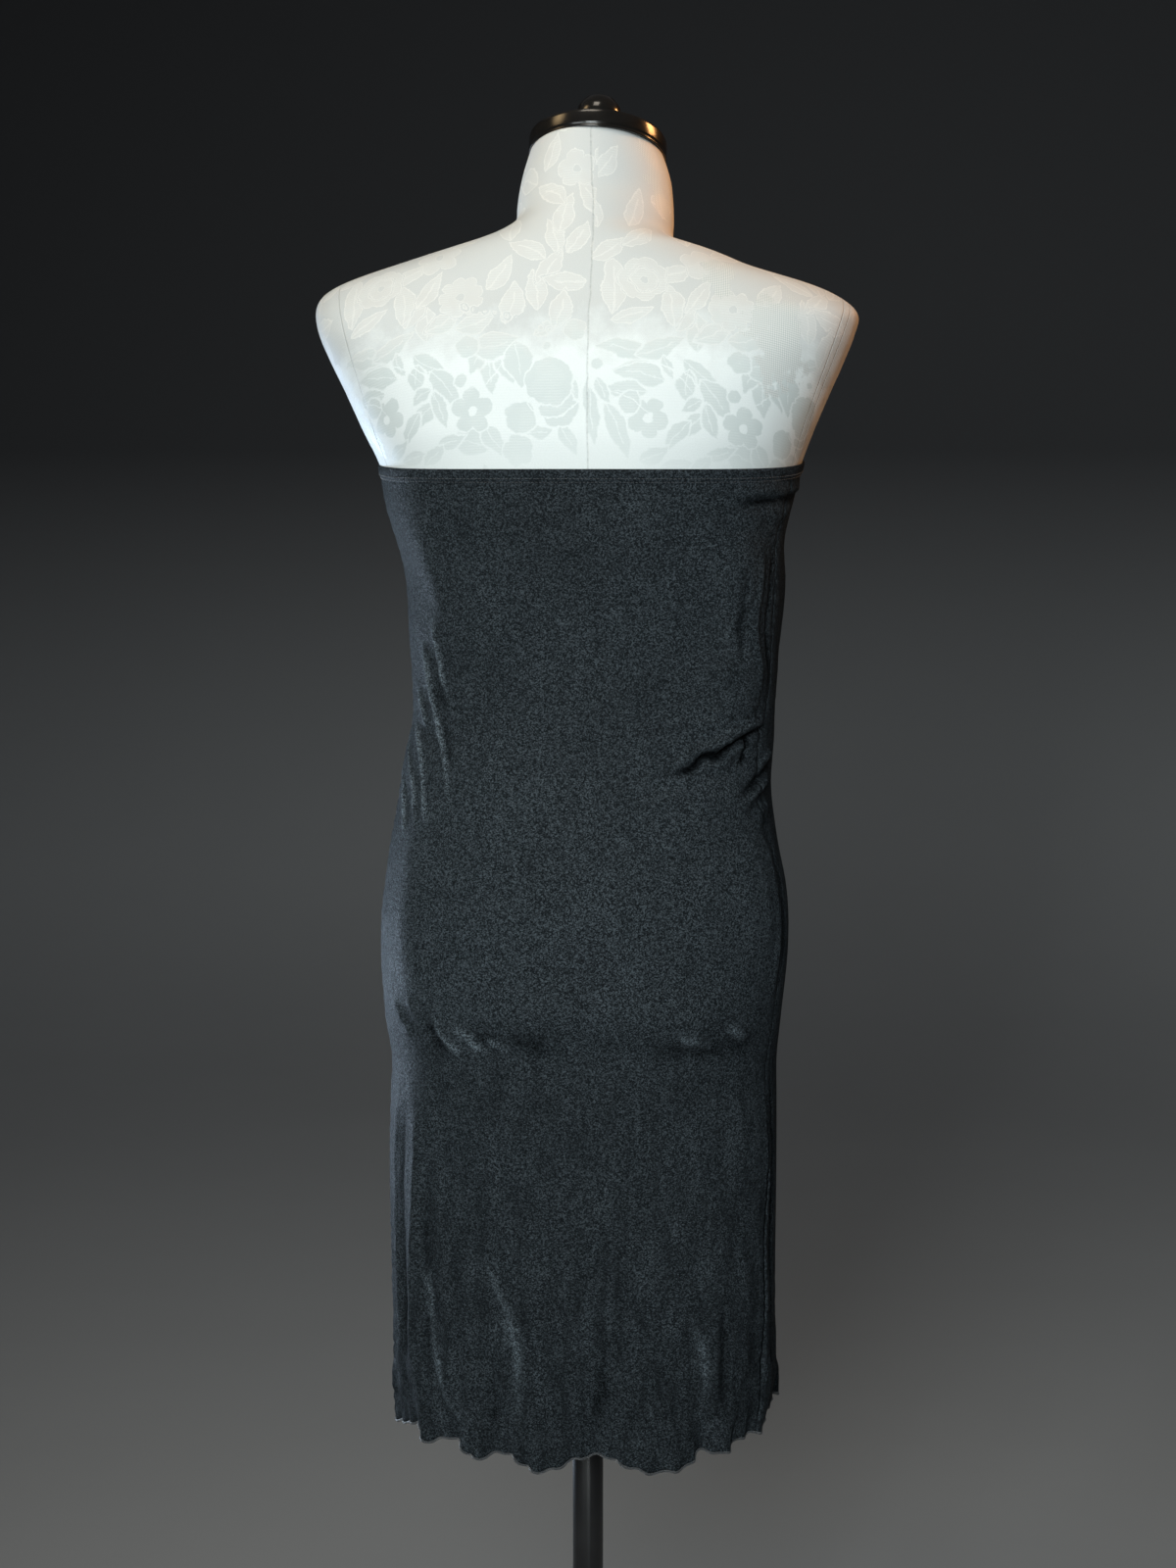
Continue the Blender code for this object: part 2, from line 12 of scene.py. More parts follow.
import bmesh
import bpy
import numpy as np
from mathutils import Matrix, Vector, noise
from mathutils.bvhtree import BVHTree


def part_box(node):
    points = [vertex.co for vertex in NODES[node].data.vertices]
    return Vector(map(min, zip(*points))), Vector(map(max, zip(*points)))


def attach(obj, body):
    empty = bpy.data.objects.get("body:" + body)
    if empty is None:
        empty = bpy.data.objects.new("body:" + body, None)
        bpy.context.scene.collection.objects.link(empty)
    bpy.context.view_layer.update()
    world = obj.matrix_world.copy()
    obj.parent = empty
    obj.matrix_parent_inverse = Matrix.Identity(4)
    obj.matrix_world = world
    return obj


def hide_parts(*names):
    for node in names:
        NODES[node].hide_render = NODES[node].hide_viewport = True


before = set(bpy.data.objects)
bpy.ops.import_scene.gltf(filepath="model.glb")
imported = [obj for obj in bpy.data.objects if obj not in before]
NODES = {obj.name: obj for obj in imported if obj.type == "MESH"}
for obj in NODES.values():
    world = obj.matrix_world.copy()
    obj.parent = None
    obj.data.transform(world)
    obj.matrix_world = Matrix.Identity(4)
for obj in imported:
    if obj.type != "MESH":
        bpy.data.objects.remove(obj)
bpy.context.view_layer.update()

MM = 0.001

# How finely the cloth is divided, and how thick its shell is.
BACK_COLUMNS = 150
FRONT_COLUMNS = 160
CLOTH_ROWS = 300
SHELL = 0.7 * MM


# ---------------------------------------------------------------- reading the frame's grids


# The form is about one and a half times as wide as deep, so outward at its sides isn't straight from
# the axis: it is across the ellipse of this width to depth, squared.
WIDE_TO_DEEP_SQUARED = 2.25


def outward(x, y):
    """Straight out from the form's side at a place, level with the floor."""
    return Vector((x / WIDE_TO_DEEP_SQUARED, y, 0)).normalized()


def welded(name):
    """A CAD node's mesh with the corners that lie together made one."""
    bm = bmesh.new()
    bm.from_mesh(NODES[name].data)
    bmesh.ops.remove_doubles(bm, verts=bm.verts, dist=1e-5)
    bm.normal_update()
    bm.verts.ensure_lookup_table()
    return bm


def outer_faces(bm, least=0.4):
    """The faces of a wall that look away from the form."""
    found = []
    for face in bm.faces:
        middle = face.calc_center_median()
        if face.normal.dot(outward(middle.x, middle.y)) > least:
            found.append(face)
    return found


def steps_from(start, faces):
    """For each corner of some faces, the number of edges between it and a starting row."""
    near = defaultdict(set)
    for face in faces:
        for edge in face.edges:
            a, b = edge.verts
            near[a.index].add(b.index)
            near[b.index].add(a.index)
    level = {i: 0 for i in start}
    front = list(level)
    while front:
        following = []
        for i in front:
            for j in near[i]:
                if j not in level:
                    level[j] = level[i] + 1
                    following.append(j)
        front = following
    return level


def in_turn(bm, indices, start):
    """Corners of one row, in order round the axis. The angle `start` is a little before the first."""
    def turn(i):
        point = bm.verts[i].co
        return (atan2(point.y, point.x) - start) % (2 * pi)
    return np.array([bm.verts[i].co[:] for i in sorted(indices, key=turn)])


# A panel's top row is its only row of corners higher than this under the top band's foot.
TOP_ROW_BELOW_BAND = 3 * MM


def rim_of(faces):
    """For each corner on the rim of some faces, the corners next to it along the rim."""
    uses = Counter(edge for face in faces for edge in face.edges)
    beside = defaultdict(list)
    for edge, count in uses.items():
        if count == 1:
            a, b = edge.verts
            beside[a.index].append(b.index)
            beside[b.index].append(a.index)
    return beside


def walk_round(beside, top):
    """The rim's corners from one end of the top row, down the side and round to the other end."""
    here = [i for i in top if any(j not in top for j in beside[i])][0]
    walk = [here]
    step = [j for j in beside[here] if j not in top][0]
    while step not in top:
        walk.append(step)
        before, here = here, step
        step = [j for j in beside[here] if j != before][0]
    return walk


def panel_rows(name, start):
    """The outer corners of a CAD panel, row by row from the top.

    Its lowest rows have twice as many steps across as the others, so rows are counted from both ends.
    """
    bm = welded(name)
    faces = outer_faces(bm)
    beside = rim_of(faces)
    top_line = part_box("back_top_band")[0].z - TOP_ROW_BELOW_BAND
    top = [i for i in beside if bm.verts[i].co.z > top_line]
    fine_count = 2 * (len(top) - 1) + 1
    walk = walk_round(beside, top)
    side = (len(walk) - 1 - fine_count) // 2
    bottom = walk[1 + side : 1 + side + fine_count]
    from_top = steps_from(top, faces)
    from_bottom = steps_from(bottom, faces)
    sizes = Counter(from_bottom.values())
    fine = 0
    while sizes[fine] == fine_count:
        fine += 1
    rows = defaultdict(list)
    coarse = max(v for i, v in from_top.items() if from_bottom[i] >= fine)
    for i in from_top:
        row = from_top[i] if from_bottom[i] >= fine else coarse + fine - from_bottom[i]
        rows[row].append(i)
    found = [in_turn(bm, rows[k], start) for k in sorted(rows)]
    bm.free()
    return found


def torso_rings():
    """The form's rings of corners from the bottom up, each in line with the one below."""
    bm = welded("torso")
    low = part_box("torso")[0].z + 1e-4
    start = [v.index for v in bm.verts if v.co.z < low]
    level = steps_from(start, bm.faces)
    rows = defaultdict(list)
    for i, k in level.items():
        rows[k].append(i)
    rings = []
    for k in sorted(rows):
        points = np.array([bm.verts[i].co[:] for i in rows[k]])
        middle = points.mean(0)
        turn = np.arctan2(points[:, 1] - middle[1], points[:, 0] - middle[0])
        ring = points[np.argsort(turn)]
        if rings:
            shifts = [((np.roll(ring, s, 0) - rings[-1]) ** 2).sum() for s in range(len(ring))]
            ring = np.roll(ring, int(np.argmin(shifts)), 0)
        rings.append(ring)
    bm.free()
    return np.array(rings)


# ---------------------------------------------------------------- smooth curves through points


def bends(knots, points, closed):
    """Second derivatives of the cubic curve through points. `closed` joins its ends."""
    gap = np.diff(knots)
    count = len(points)
    matrix = np.zeros((count, count))
    right = np.zeros_like(points)
    for i in range(count):
        if not closed and i in (0, count - 1):
            matrix[i, i] = 1
            continue
        before = gap[i - 1] if i else gap[-1]
        after = gap[i]
        matrix[i, i - 1] += before
        matrix[i, i] += 2 * (before + after)
        matrix[i, (i + 1) % count] += after
        ahead = (points[(i + 1) % count] - points[i]) / after
        right[i] = 6 * (ahead - (points[i] - points[i - 1]) / before)
    flat = right.reshape(count, -1)
    return np.linalg.solve(matrix, flat).reshape(points.shape)


def curve_at(knots, points, where, closed=False):
    """Points of the cubic curve at the places `where` along its knots."""
    curved = bends(knots, points, closed)
    i = np.clip(np.searchsorted(knots, where, side="right") - 1, 0, len(knots) - 2)
    j = (i + 1) % len(points)
    gap = knots[i + 1] - knots[i]
    shape = (-1,) + (1,) * (points.ndim - 1)
    a = ((knots[i + 1] - where) / gap).reshape(shape)
    b = ((where - knots[i]) / gap).reshape(shape)
    gap = gap.reshape(shape)
    bow = (a**3 - a) * curved[i] + (b**3 - b) * curved[j]
    return a * points[i] + b * points[j] + bow * gap**2 / 6


def lengths_along(points, closed=False):
    """How far along a line each of its points lies. A closed one has its whole length last."""
    if closed:
        points = np.vstack([points, points[:1]])
    return np.concatenate([[0], np.cumsum(np.linalg.norm(np.diff(points, axis=0), axis=1))])


def joined_ring(back, front):
    """One closed ring through a row of each panel, the two edges at each seam made one point.

    Also the place in the ring of the seam on the form's right.
    """
    left = (back[0] + front[-1]) / 2
    right = (back[-1] + front[0]) / 2
    ring = np.vstack([left, back[1:-1], right, front[1:-1]])
    return ring, len(back) - 1


def crowded(length, count, zones):
    """Places from 0 to `length`, closer together round the zones (place, reach, how much closer)."""
    fine = np.linspace(0, length, 3000)
    close = np.ones(len(fine))
    for place, reach, closer in zones:
        close += closer * np.exp(-(((fine - place) / reach) ** 2))
    reached = np.concatenate([[0], np.cumsum((close[1:] + close[:-1]) / 2)])
    return np.interp(np.linspace(0, reached[-1], count + 1), reached, fine)


# Where across a panel the cloth is finest: (place as a share of the width, reach, how much closer).
BACK_ZONES = [(0.17, 0.10, 1.0), (0.87, 0.11, 1.1)]
FRONT_ZONES = [(0.04, 0.08, 1.0), (0.96, 0.08, 0.6)]
# And down from the top edge, in metres: the top edge, the waist, under the seat, and the hem.
ROW_ZONES = [(0.012, 0.014, 0.8), (0.213, 0.026, 1.8), (0.425, 0.022, 0.8), (0.770, 0.030, 0.5)]


def shaped_ring(back, front):
    """The ring in BACK_COLUMNS steps across the back, then FRONT_COLUMNS, finest in the zones."""
    ring, seam = joined_ring(back, front)
    knots = lengths_along(ring, closed=True)
    behind = crowded(1.0, BACK_COLUMNS, BACK_ZONES)[:-1] * knots[seam]
    before = crowded(1.0, FRONT_COLUMNS, FRONT_ZONES)[:-1] * (knots[-1] - knots[seam]) + knots[seam]
    return curve_at(knots, ring, np.concatenate([behind, before]), closed=True)


def normals_of(grid):
    """Outward normals of a grid of rows, top row first, each row a closed ring."""
    across = np.roll(grid, -1, 1) - np.roll(grid, 1, 1)
    down = np.gradient(grid, axis=0)
    found = np.cross(down, across)
    return found / np.linalg.norm(found, axis=2, keepdims=True)


BACK_START = radians(-8)
FRONT_START = radians(150)
back_rows = panel_rows("back_panel", BACK_START)
front_rows = panel_rows("front_panel", FRONT_START)
coarse_rings = np.array([shaped_ring(b, f) for b, f in zip(back_rows, front_rows)])
steps = np.linalg.norm(np.diff(coarse_rings, axis=0), axis=2).mean(1)
row_knots = np.concatenate([[0], np.cumsum(steps)])
CLOTH_DROP = row_knots[-1]
row_places = crowded(CLOTH_DROP, CLOTH_ROWS, ROW_ZONES)
cloth = curve_at(row_knots, coarse_rings, row_places)


# ---------------------------------------------------------------- the form's cover


# The cover's rows crowd above the place where the dress hides it.
COVER_COLUMNS = 210
COVER_ROWS = 250
HIDDEN_ROWS = 50
HIDDEN_BELOW = 1.215
# Where the shoulders turn up into the neck, and how far up and down the turn is eased.
NECK_FOOT = 1.421
NECK_EASED = 0.016


def cover_grid():
    """The form's rings joined by smooth curves, finest above the dress. Bottom row first."""
    rings = torso_rings()
    around = np.arange(rings.shape[1] + 1, dtype=float)
    where = np.linspace(0, rings.shape[1], COVER_COLUMNS, endpoint=False)
    smooth = np.array([curve_at(around, ring, where, closed=True) for ring in rings])
    steps = np.linalg.norm(np.diff(smooth, axis=0), axis=2).mean(1)
    knots = np.concatenate([[0], np.cumsum(steps)])
    shown = knots[np.argmax(rings[:, :, 2].min(1) > HIDDEN_BELOW)]
    hidden = np.linspace(0, shown, HIDDEN_ROWS, endpoint=False)
    places = np.concatenate([hidden, np.linspace(shown, knots[-1], COVER_ROWS - HIDDEN_ROWS)])
    return eased_neck(curve_at(knots, smooth, places))


def eased_neck(grid, passes=60):
    """The cover runs from the shoulder up the neck in a soft curve."""
    for _ in range(passes):
        near = np.exp(-(((grid[1:-1, :, 2:3] - NECK_FOOT) / NECK_EASED) ** 2))
        grid[1:-1] += 0.5 * near * ((grid[2:] + grid[:-2]) / 2 - grid[1:-1])
    return grid


def flat_map(grid):
    """Where each point of the cover lies on the flat cloth: across from the middle, and up.

    The back and the front are mapped by themselves, each from its own middle line.
    """
    rows, columns = grid.shape[:2]
    found = {}
    for side, sign in (("back", 1), ("front", -1)):
        flat = np.zeros((rows, columns, 2))
        below = None
        for i in range(rows):
            ring = grid[i]
            order = np.argsort(np.arctan2(ring[:, 0] * sign, (ring[:, 1] - ring[:, 1].mean()) * sign))
            line = ring[order]
            reach = lengths_along(line)
            turned = np.arctan2(line[:, 0] * sign, (line[:, 1] - ring[:, 1].mean()) * sign)
            across = reach - np.interp(0, turned, reach)
            if below is None:
                up = np.zeros(columns)
            else:
                under = np.array([np.interp(across, below[0], below[1][:, k]) for k in range(3)]).T
                up = np.interp(across, below[0], below[2]) + np.linalg.norm(line - under, axis=1)
            below = (across, line, up)
            flat[i, order, 0] = across
            flat[i, order, 1] = up
        found[side] = flat
    return found


def linked(name, mesh):
    """A smooth-shaded object of a mesh, in the scene."""
    mesh.shade_smooth()
    piece = bpy.data.objects.new(name, mesh)
    bpy.context.scene.collection.objects.link(piece)
    return piece


def grid_object(name, grid, maps=(), closed=True, ends=False):
    """A mesh of quads from a grid of rows. `maps` are (name, flat place of each corner).

    `closed` joins each row's ends, and `ends` fills the first and the last row.
    """
    rows, columns = grid.shape[:2]
    index = np.arange(rows * columns).reshape(rows, columns)
    right = np.roll(index, -1, 1) if closed else index[:, 1:]
    left = index if closed else index[:, :-1]
    quads = np.stack([left[:-1], left[1:], right[1:], right[:-1]], -1).reshape(-1, 4)
    faces = quads.tolist()
    if ends:
        faces += [index[0].tolist(), index[-1][::-1].tolist()]
    mesh = bpy.data.meshes.new(name)
    mesh.from_pydata(grid.reshape(-1, 3).tolist(), [], faces)
    for layer_name, places in maps:
        layer = mesh.uv_layers.new(name=layer_name)
        corners = np.zeros(len(mesh.loops), dtype=int)
        mesh.loops.foreach_get("vertex_index", corners)
        layer.uv.foreach_set("vector", places.reshape(-1, 2)[corners].ravel().astype(np.float32))
    return linked(name, mesh)


def face_outwards(piece):
    """Turns all of a closed piece's faces outwards."""
    bm = bmesh.new()
    bm.from_mesh(piece.data)
    bmesh.ops.recalc_face_normals(bm, faces=bm.faces)
    bm.to_mesh(piece.data)
    bm.free()


cover = cover_grid()
cover_flat = flat_map(cover)
facing_back = np.arctan2(cover[:, :, 1] - cover[:, :, 1].mean(1, keepdims=True), cover[:, :, 0])
is_back = (facing_back > 0)[:, :, None]
cover_uv = np.where(is_back, cover_flat["back"], cover_flat["front"])
form = grid_object("form_cover", cover, [("flow", cover_uv)], ends=True)
face_outwards(form)
form_tree = BVHTree.FromObject(form, bpy.context.evaluated_depsgraph_get())


# ---------------------------------------------------------------- creases, puckers and edges

# A crease is laid along a path of (angle in degrees, height in mm). Its half width and its height off
# the cloth are in mm. A ridge has a positive height, and a trough a negative one.
Crease = namedtuple("Crease", "half_width height path")
CREASES = [
    # The deep gather that runs in from the right side of the waist, between two rolls of cloth.
    Crease(2.1, -6.6, [
        (170, 1052), (161, 1048), (156, 1044), (153, 1040), (150, 1036), (148, 1032), (145, 1033),
        (142, 1031), (140, 1027), (136, 1022), (132, 1020), (128, 1017),
    ]),
    Crease(3.8, 4.2, [
        (172, 1059), (161, 1055), (156, 1051), (152, 1047), (149, 1043), (146, 1040), (142, 1038),
        (138, 1034), (134, 1028), (128, 1023),
    ]),
    Crease(3.6, 3.2, [
        (168, 1044), (159, 1040), (154, 1036), (151, 1030), (148, 1025), (143, 1025), (138, 1019),
        (132, 1013),
    ]),
    Crease(10, 3, [(164, 1072), (154, 1066), (145, 1056), (136, 1048)]),
    Crease(2.2, -5, [(161, 1048), (158, 1037), (158, 1031), (155, 1024)]),
    Crease(8, -1.2, [(136, 1015), (128, 1008), (120, 1003), (112, 1000)]),
    Crease(6, 2.2, [(134, 1006), (125, 1000), (116, 996)]),
    Crease(2.6, -3.4, [(178, 1020), (167, 1013), (160, 1006), (153, 996)]),
    Crease(3.4, 4, [(178, 1012), (166, 1005), (158, 997), (152, 985)]),
    Crease(3.4, 3.8, [(178, 1031), (170, 1027), (164, 1020)]),
    Crease(4, 3, [(176, 990), (166, 984), (159, 974)]),
    # Soft upright folds at the right edge, above and below the waist.
    Crease(23, 7.8, [(150, 1228), (151, 1190), (153, 1150), (155, 1110), (155, 1075), (154, 1040)]),
    Crease(3.4, 3, [(158, 1200), (158, 1165), (157, 1135), (160, 1105), (161, 1075), (158, 1060)]),
    Crease(3.4, -3, [(164, 1200), (165, 1160), (164, 1130), (167, 1100), (168, 1070)]),
    Crease(12, 2.2, [(188, 1200), (188, 1160), (188, 1120), (189, 1080), (188, 1050)]),
    Crease(3, -1.8, [(153, 1185), (152, 1150), (153, 1120), (155, 1090)]),
    Crease(3.6, 1.6, [(148, 1150), (149, 1110), (148, 1080)]),
    Crease(20, 3.4, [(158, 1000), (158, 960), (159, 910), (159, 860)]),
    Crease(3.6, 1.6, [(163, 990), (164, 950), (165, 900), (164, 850), (161, 822)]),
    Crease(3.6, -2, [(169, 990), (170, 940), (171, 890), (168, 840)]),
    Crease(24, 5, [(158, 800), (158, 740), (158, 660), (157, 580), (157, 510)]),
    Crease(3.4, 2.4, [(162, 800), (163, 740), (163, 670), (162, 600), (163, 520)]),
    Crease(3.6, -2.6, [(168, 810), (169, 740), (170, 660), (169, 580), (170, 510)]),
    Crease(5, 1.6, [(150, 790), (151, 740), (150, 690)]),
    # The fold of cloth under the top band at the right.
    Crease(2.8, -4.2, [(186, 1231), (170, 1228), (160, 1226), (152, 1225), (144, 1221)]),
    Crease(5, 3, [(186, 1238), (170, 1234), (160, 1233), (150, 1232), (142, 1228)]),
    Crease(5, 1.6, [(180, 1220), (165, 1216), (152, 1214), (143, 1208)]),
    # Taut drag lines down the left of the waist.
    Crease(2.4, 2.7, [
        (23, 1125), (24, 1100), (25, 1086), (28, 1064), (33, 1039), (38, 1016), (41, 990),
    ]),
    Crease(2.2, 2.3, [(13, 1058), (21, 1040), (26, 1021), (31, 989), (34, 970)]),
    Crease(2.2, 2.1, [(7, 1050), (14, 1030), (21, 1012), (28, 969)]),
    Crease(2.2, 2, [(31, 1140), (31, 1110), (32, 1089), (34, 1070)]),
    Crease(3.4, 1.2, [(42, 1140), (42, 1110), (42, 1085)]),
    Crease(2.2, 1.8, [(10, 1020), (17, 996), (23, 962)]),
    Crease(2.2, 1.6, [(17, 1085), (21, 1062), (25, 1045)]),
    Crease(17, 2.6, [
        (27, 1222), (30, 1195), (33, 1171), (36, 1154), (38, 1131), (39, 1107), (37, 1083), (35, 1070),
    ]),
    Crease(5.5, -1.6, [(29, 1100), (31, 1070), (36, 1035), (41, 1005)]),
    # The edge of the lit side of the hip.
    Crease(15, 1.4, [(20, 985), (27, 964), (29, 928), (30, 885), (33, 856), (37, 832)]),
    Crease(4, 1, [(14, 950), (17, 920), (16, 880)]),
    # Short slanting wrinkles at the left of the seat.
    Crease(2.6, 2.2, [(41, 832), (42, 820), (44, 811), (47, 806), (51, 803)]),
    Crease(4.2, -2.2, [(38, 830), (40, 816), (43, 806), (47, 800)]),
    Crease(2.6, 1.8, [(51, 818), (54, 811), (57, 807), (60, 806)]),
    Crease(2.6, 1.6, [(58, 816), (62, 812), (66, 810)]),
    Crease(3.6, 1.8, [(30, 845), (33, 832), (37, 818)]),
    Crease(4, 1.6, [(22, 838), (27, 822), (32, 808)]),
    Crease(2.6, 1.4, [(46, 826), (50, 820), (55, 817)]),
    # The hollow under the seat, and the seat's fullness over it.
    Crease(12.5, -3.6, [
        (46, 803), (60, 803), (74, 808), (88, 811), (100, 811), (118, 808), (134, 805), (154, 806),
    ]),
    Crease(23, 6, [(50, 836), (64, 834), (80, 838), (98, 838), (120, 835), (140, 833), (156, 836)]),
    Crease(7.8, -2, [(50, 812), (62, 814), (74, 813), (86, 811)]),
    Crease(7.6, -2.1, [(118, 810), (138, 808), (152, 811), (163, 815)]),
    Crease(3, 1.6, [(128, 822), (134, 815), (141, 810)]),
    Crease(3, 1.6, [(144, 826), (149, 819), (154, 812)]),
    # Upright flutes at the left of the skirt.
    Crease(4.5, 2.2, [(21, 790), (20, 700), (22, 600), (21, 500)]),
    Crease(4, 2, [(30, 770), (31, 680), (30, 600), (32, 500)]),
    Crease(4.5, 2.2, [(40, 740), (41, 660), (43, 580), (42, 500)]),
    Crease(4, 1.8, [(51, 640), (52, 590), (51, 540), (53, 495)]),
    Crease(4, 2, [(66, 600), (65, 560), (67, 520), (66, 490)]),
    Crease(4.5, -1.8, [(26, 780), (25, 690), (27, 600), (26, 510)]),
    Crease(4.5, -1.8, [(36, 720), (36, 640), (37, 560), (37, 500)]),
    Crease(3.2, 1.9, [(35, 646), (37, 591), (40, 543), (48, 509), (54, 497)]),
    Crease(3, 1.6, [(56, 646), (66, 600), (70, 555), (70, 500)]),
    Crease(3.2, 1.1, [(132, 610), (137, 576), (138, 530), (137, 495)]),
    Crease(4, 2.2, [(82, 566), (89, 558), (93, 525), (92, 496)]),
    Crease(4, -2, [(101, 600), (103, 560), (102, 520), (104, 492)]),
    Crease(3.6, 1.8, [(116, 570), (117, 530), (115, 492)]),
    Crease(3.6, 2, [(126, 540), (124, 515), (125, 492)]),
    Crease(3.6, -1.8, [(60, 560), (61, 530), (60, 494)]),
    Crease(4.2, 2, [(148, 640), (149, 590), (147, 540), (149, 500)]),
    Crease(3.6, -2, [(144, 620), (144, 570), (143, 510)]),
    # The same kinds of creases on the front, where they can't be seen.
    Crease(3, -4.2, [(188, 1050), (197, 1046), (205, 1040), (212, 1031), (221, 1024)]),
    Crease(6, 2.8, [(188, 1060), (198, 1056), (208, 1049), (219, 1038)]),
    Crease(6, 2, [(190, 1038), (200, 1032), (210, 1020), (222, 1010)]),
    Crease(4, -2, [(186, 1010), (195, 1003), (203, 992), (210, 978)]),
    Crease(4, 1.8, [(200, 1180), (197, 1140), (194, 1100), (192, 1075)]),
    Crease(5, 1.6, [(213, 1165), (209, 1130), (205, 1095)]),
    Crease(2.4, 1.2, [(-24, 1110), (-27, 1070), (-33, 1035), (-40, 1000)]),
    Crease(2.2, 1.1, [(-14, 1065), (-20, 1040), (-27, 1005), (-31, 975)]),
    Crease(2.4, 1, [(-34, 1140), (-35, 1100), (-39, 1060)]),
    Crease(8, 1.8, [(-42, 1150), (-50, 1110), (-60, 1070), (-66, 1030)]),
    Crease(8, 1.6, [(-130, 1140), (-124, 1100), (-118, 1060), (-114, 1020)]),
    Crease(9, -2, [(-60, 905), (-75, 898), (-90, 896), (-108, 899), (-124, 908)]),
    Crease(5, 1.4, [(-40, 850), (-50, 842), (-62, 838)]),
    Crease(5, 1.4, [(-118, 838), (-130, 842), (-142, 852)]),
]


# The cloth's usual distance from the axis, and how far one degree is round it.
USUAL_RADIUS = 0.13
PER_DEGREE = 2.3 * MM


def place_on(points, angles, angle, z):
    """The corner of the cloth nearest to an angle and height."""
    off = (angles - radians(angle) + pi) % (2 * pi) - pi
    far = (off * USUAL_RADIUS) ** 2 + (points[:, :, 2] - z) ** 2
    return points[np.unravel_index(far.argmin(), off.shape)]


# How far out a crease is laid, in half widths, and the share of its length over which it fades out at
# each end. Its path is drawn in so many steps for each point, and its wavering is read at so many marks.
REACH = 3.2
FADING = 0.3
STEPS_A_POINT = 8
MARKS = 41


def crease_push(points, angles, crease, seed):
    """How far one crease pushes each corner of the cloth. It fades at both ends and wavers between."""
    half_width = crease.half_width * MM
    path = np.array(crease.path) * (1, MM)
    knots = lengths_along(path * (PER_DEGREE, 1))
    fine = curve_at(knots, path, np.linspace(0, knots[-1], STEPS_A_POINT * len(path)))
    line = np.array([place_on(points, angles, a, z) for a, z in fine])
    near = np.linspace(0, 1, len(line))
    reach = REACH * half_width
    inside = np.all((points > line.min(0) - reach) & (points < line.max(0) + reach), axis=2)
    chosen = points[inside]
    best = np.full(len(chosen), 1e9)
    along = np.zeros(len(chosen))
    for start, end, t0, t1 in zip(line, line[1:], near, near[1:]):
        run = end - start
        square = max(float(run @ run), 1e-12)
        t = np.clip((chosen - start) @ run / square, 0, 1)
        far = np.linalg.norm(chosen - start - t[:, None] * run, axis=1)
        closer = far < best
        best = np.where(closer, far, best)
        along = np.where(closer, t0 + t * (t1 - t0), along)
    marks = np.linspace(0, 1, MARKS)
    wavering = np.array([noise.noise((4 * t, seed, 0.5)) for t in marks])
    uneven = 1 + 0.5 * np.interp(along, marks, wavering)
    ends = soft_step(along / FADING) * soft_step((1 - along) / FADING)
    push = np.zeros(points.shape[:2])
    push[inside] = crease.height * MM * uneven * ends * np.exp(-((best / (half_width * uneven)) ** 2))
    return push


def soft_step(share):
    """0 up to 0, 1 from 1, and a smooth rise between."""
    share = np.clip(share, 0, 1)
    return share * share * (3 - 2 * share)


def noise_over(points, across, down, seed):
    """Smooth noise over the cloth, with waves of a given size across and down, in metres."""
    size = np.array([across, across, down])
    places = (points / size).reshape(-1, 3).tolist()
    found = np.array([noise.noise((a + seed, b, c)) for a, b, c in places])
    return found.reshape(points.shape[:2])


# A side seam's groove and its puckers: how deep or high they are, and how far out they reach.
GROOVE_DEPTH, GROOVE_WIDTH = 0.8 * MM, 2.2 * MM
PUCKER_HEIGHT, PUCKER_REACH, PUCKER_PITCH = 0.6 * MM, 11 * MM, 12.5 * MM


def seam_push(points, far, seed):
    """A sewn side seam: a narrow groove, and puckers that run out from it."""
    groove = -GROOVE_DEPTH * np.exp(-((far / GROOVE_WIDTH) ** 2))
    uneven = noise_over(points, 0.05, 0.030, seed)
    pucker = np.sin(2 * pi * points[:, :, 2] / PUCKER_PITCH + 5 * uneven)
    pucker *= np.exp(-((far / PUCKER_REACH) ** 2))
    return groove + PUCKER_HEIGHT * (0.35 + np.abs(uneven)) * pucker


# Troughs narrower than NARROW (mm) get painted shade inside, darkest at DEEP_CREASE. Ridges narrower
# than TAUT (mm) get a painted highlight, lightest at SHARP_CREST.
NARROW, DEEP_CREASE = 7.9, 3.6 * MM
TAUT, SHARP_CREST = 3.3, 2.6 * MM

# Uneven waves over the whole cloth, flutes where it hangs free and crinkles near the hem: how high,
# and how large across and down. The last two begin at a height above the hem and grow below it.
SWELL = (0.5 * MM, 0.050, 0.120)
FLUTES, FLUTES_FROM, FLUTES_GROW = (3.4 * MM, 0.017, 0.150), 0.240, 0.200
CRINKLES, CRINKLES_FROM, CRINKLES_GROW = (2.6 * MM, 0.0085, 0.022), 0.150, 0.130

# The waved hem: one wave's length, how far out and down it goes, and how soon it dies out upwards.
RUFFLE_PITCH, RUFFLE_OUT, RUFFLE_DOWN, RUFFLE_REACH = 18.5 * MM, 1.9 * MM, 1.0 * MM, 11 * MM


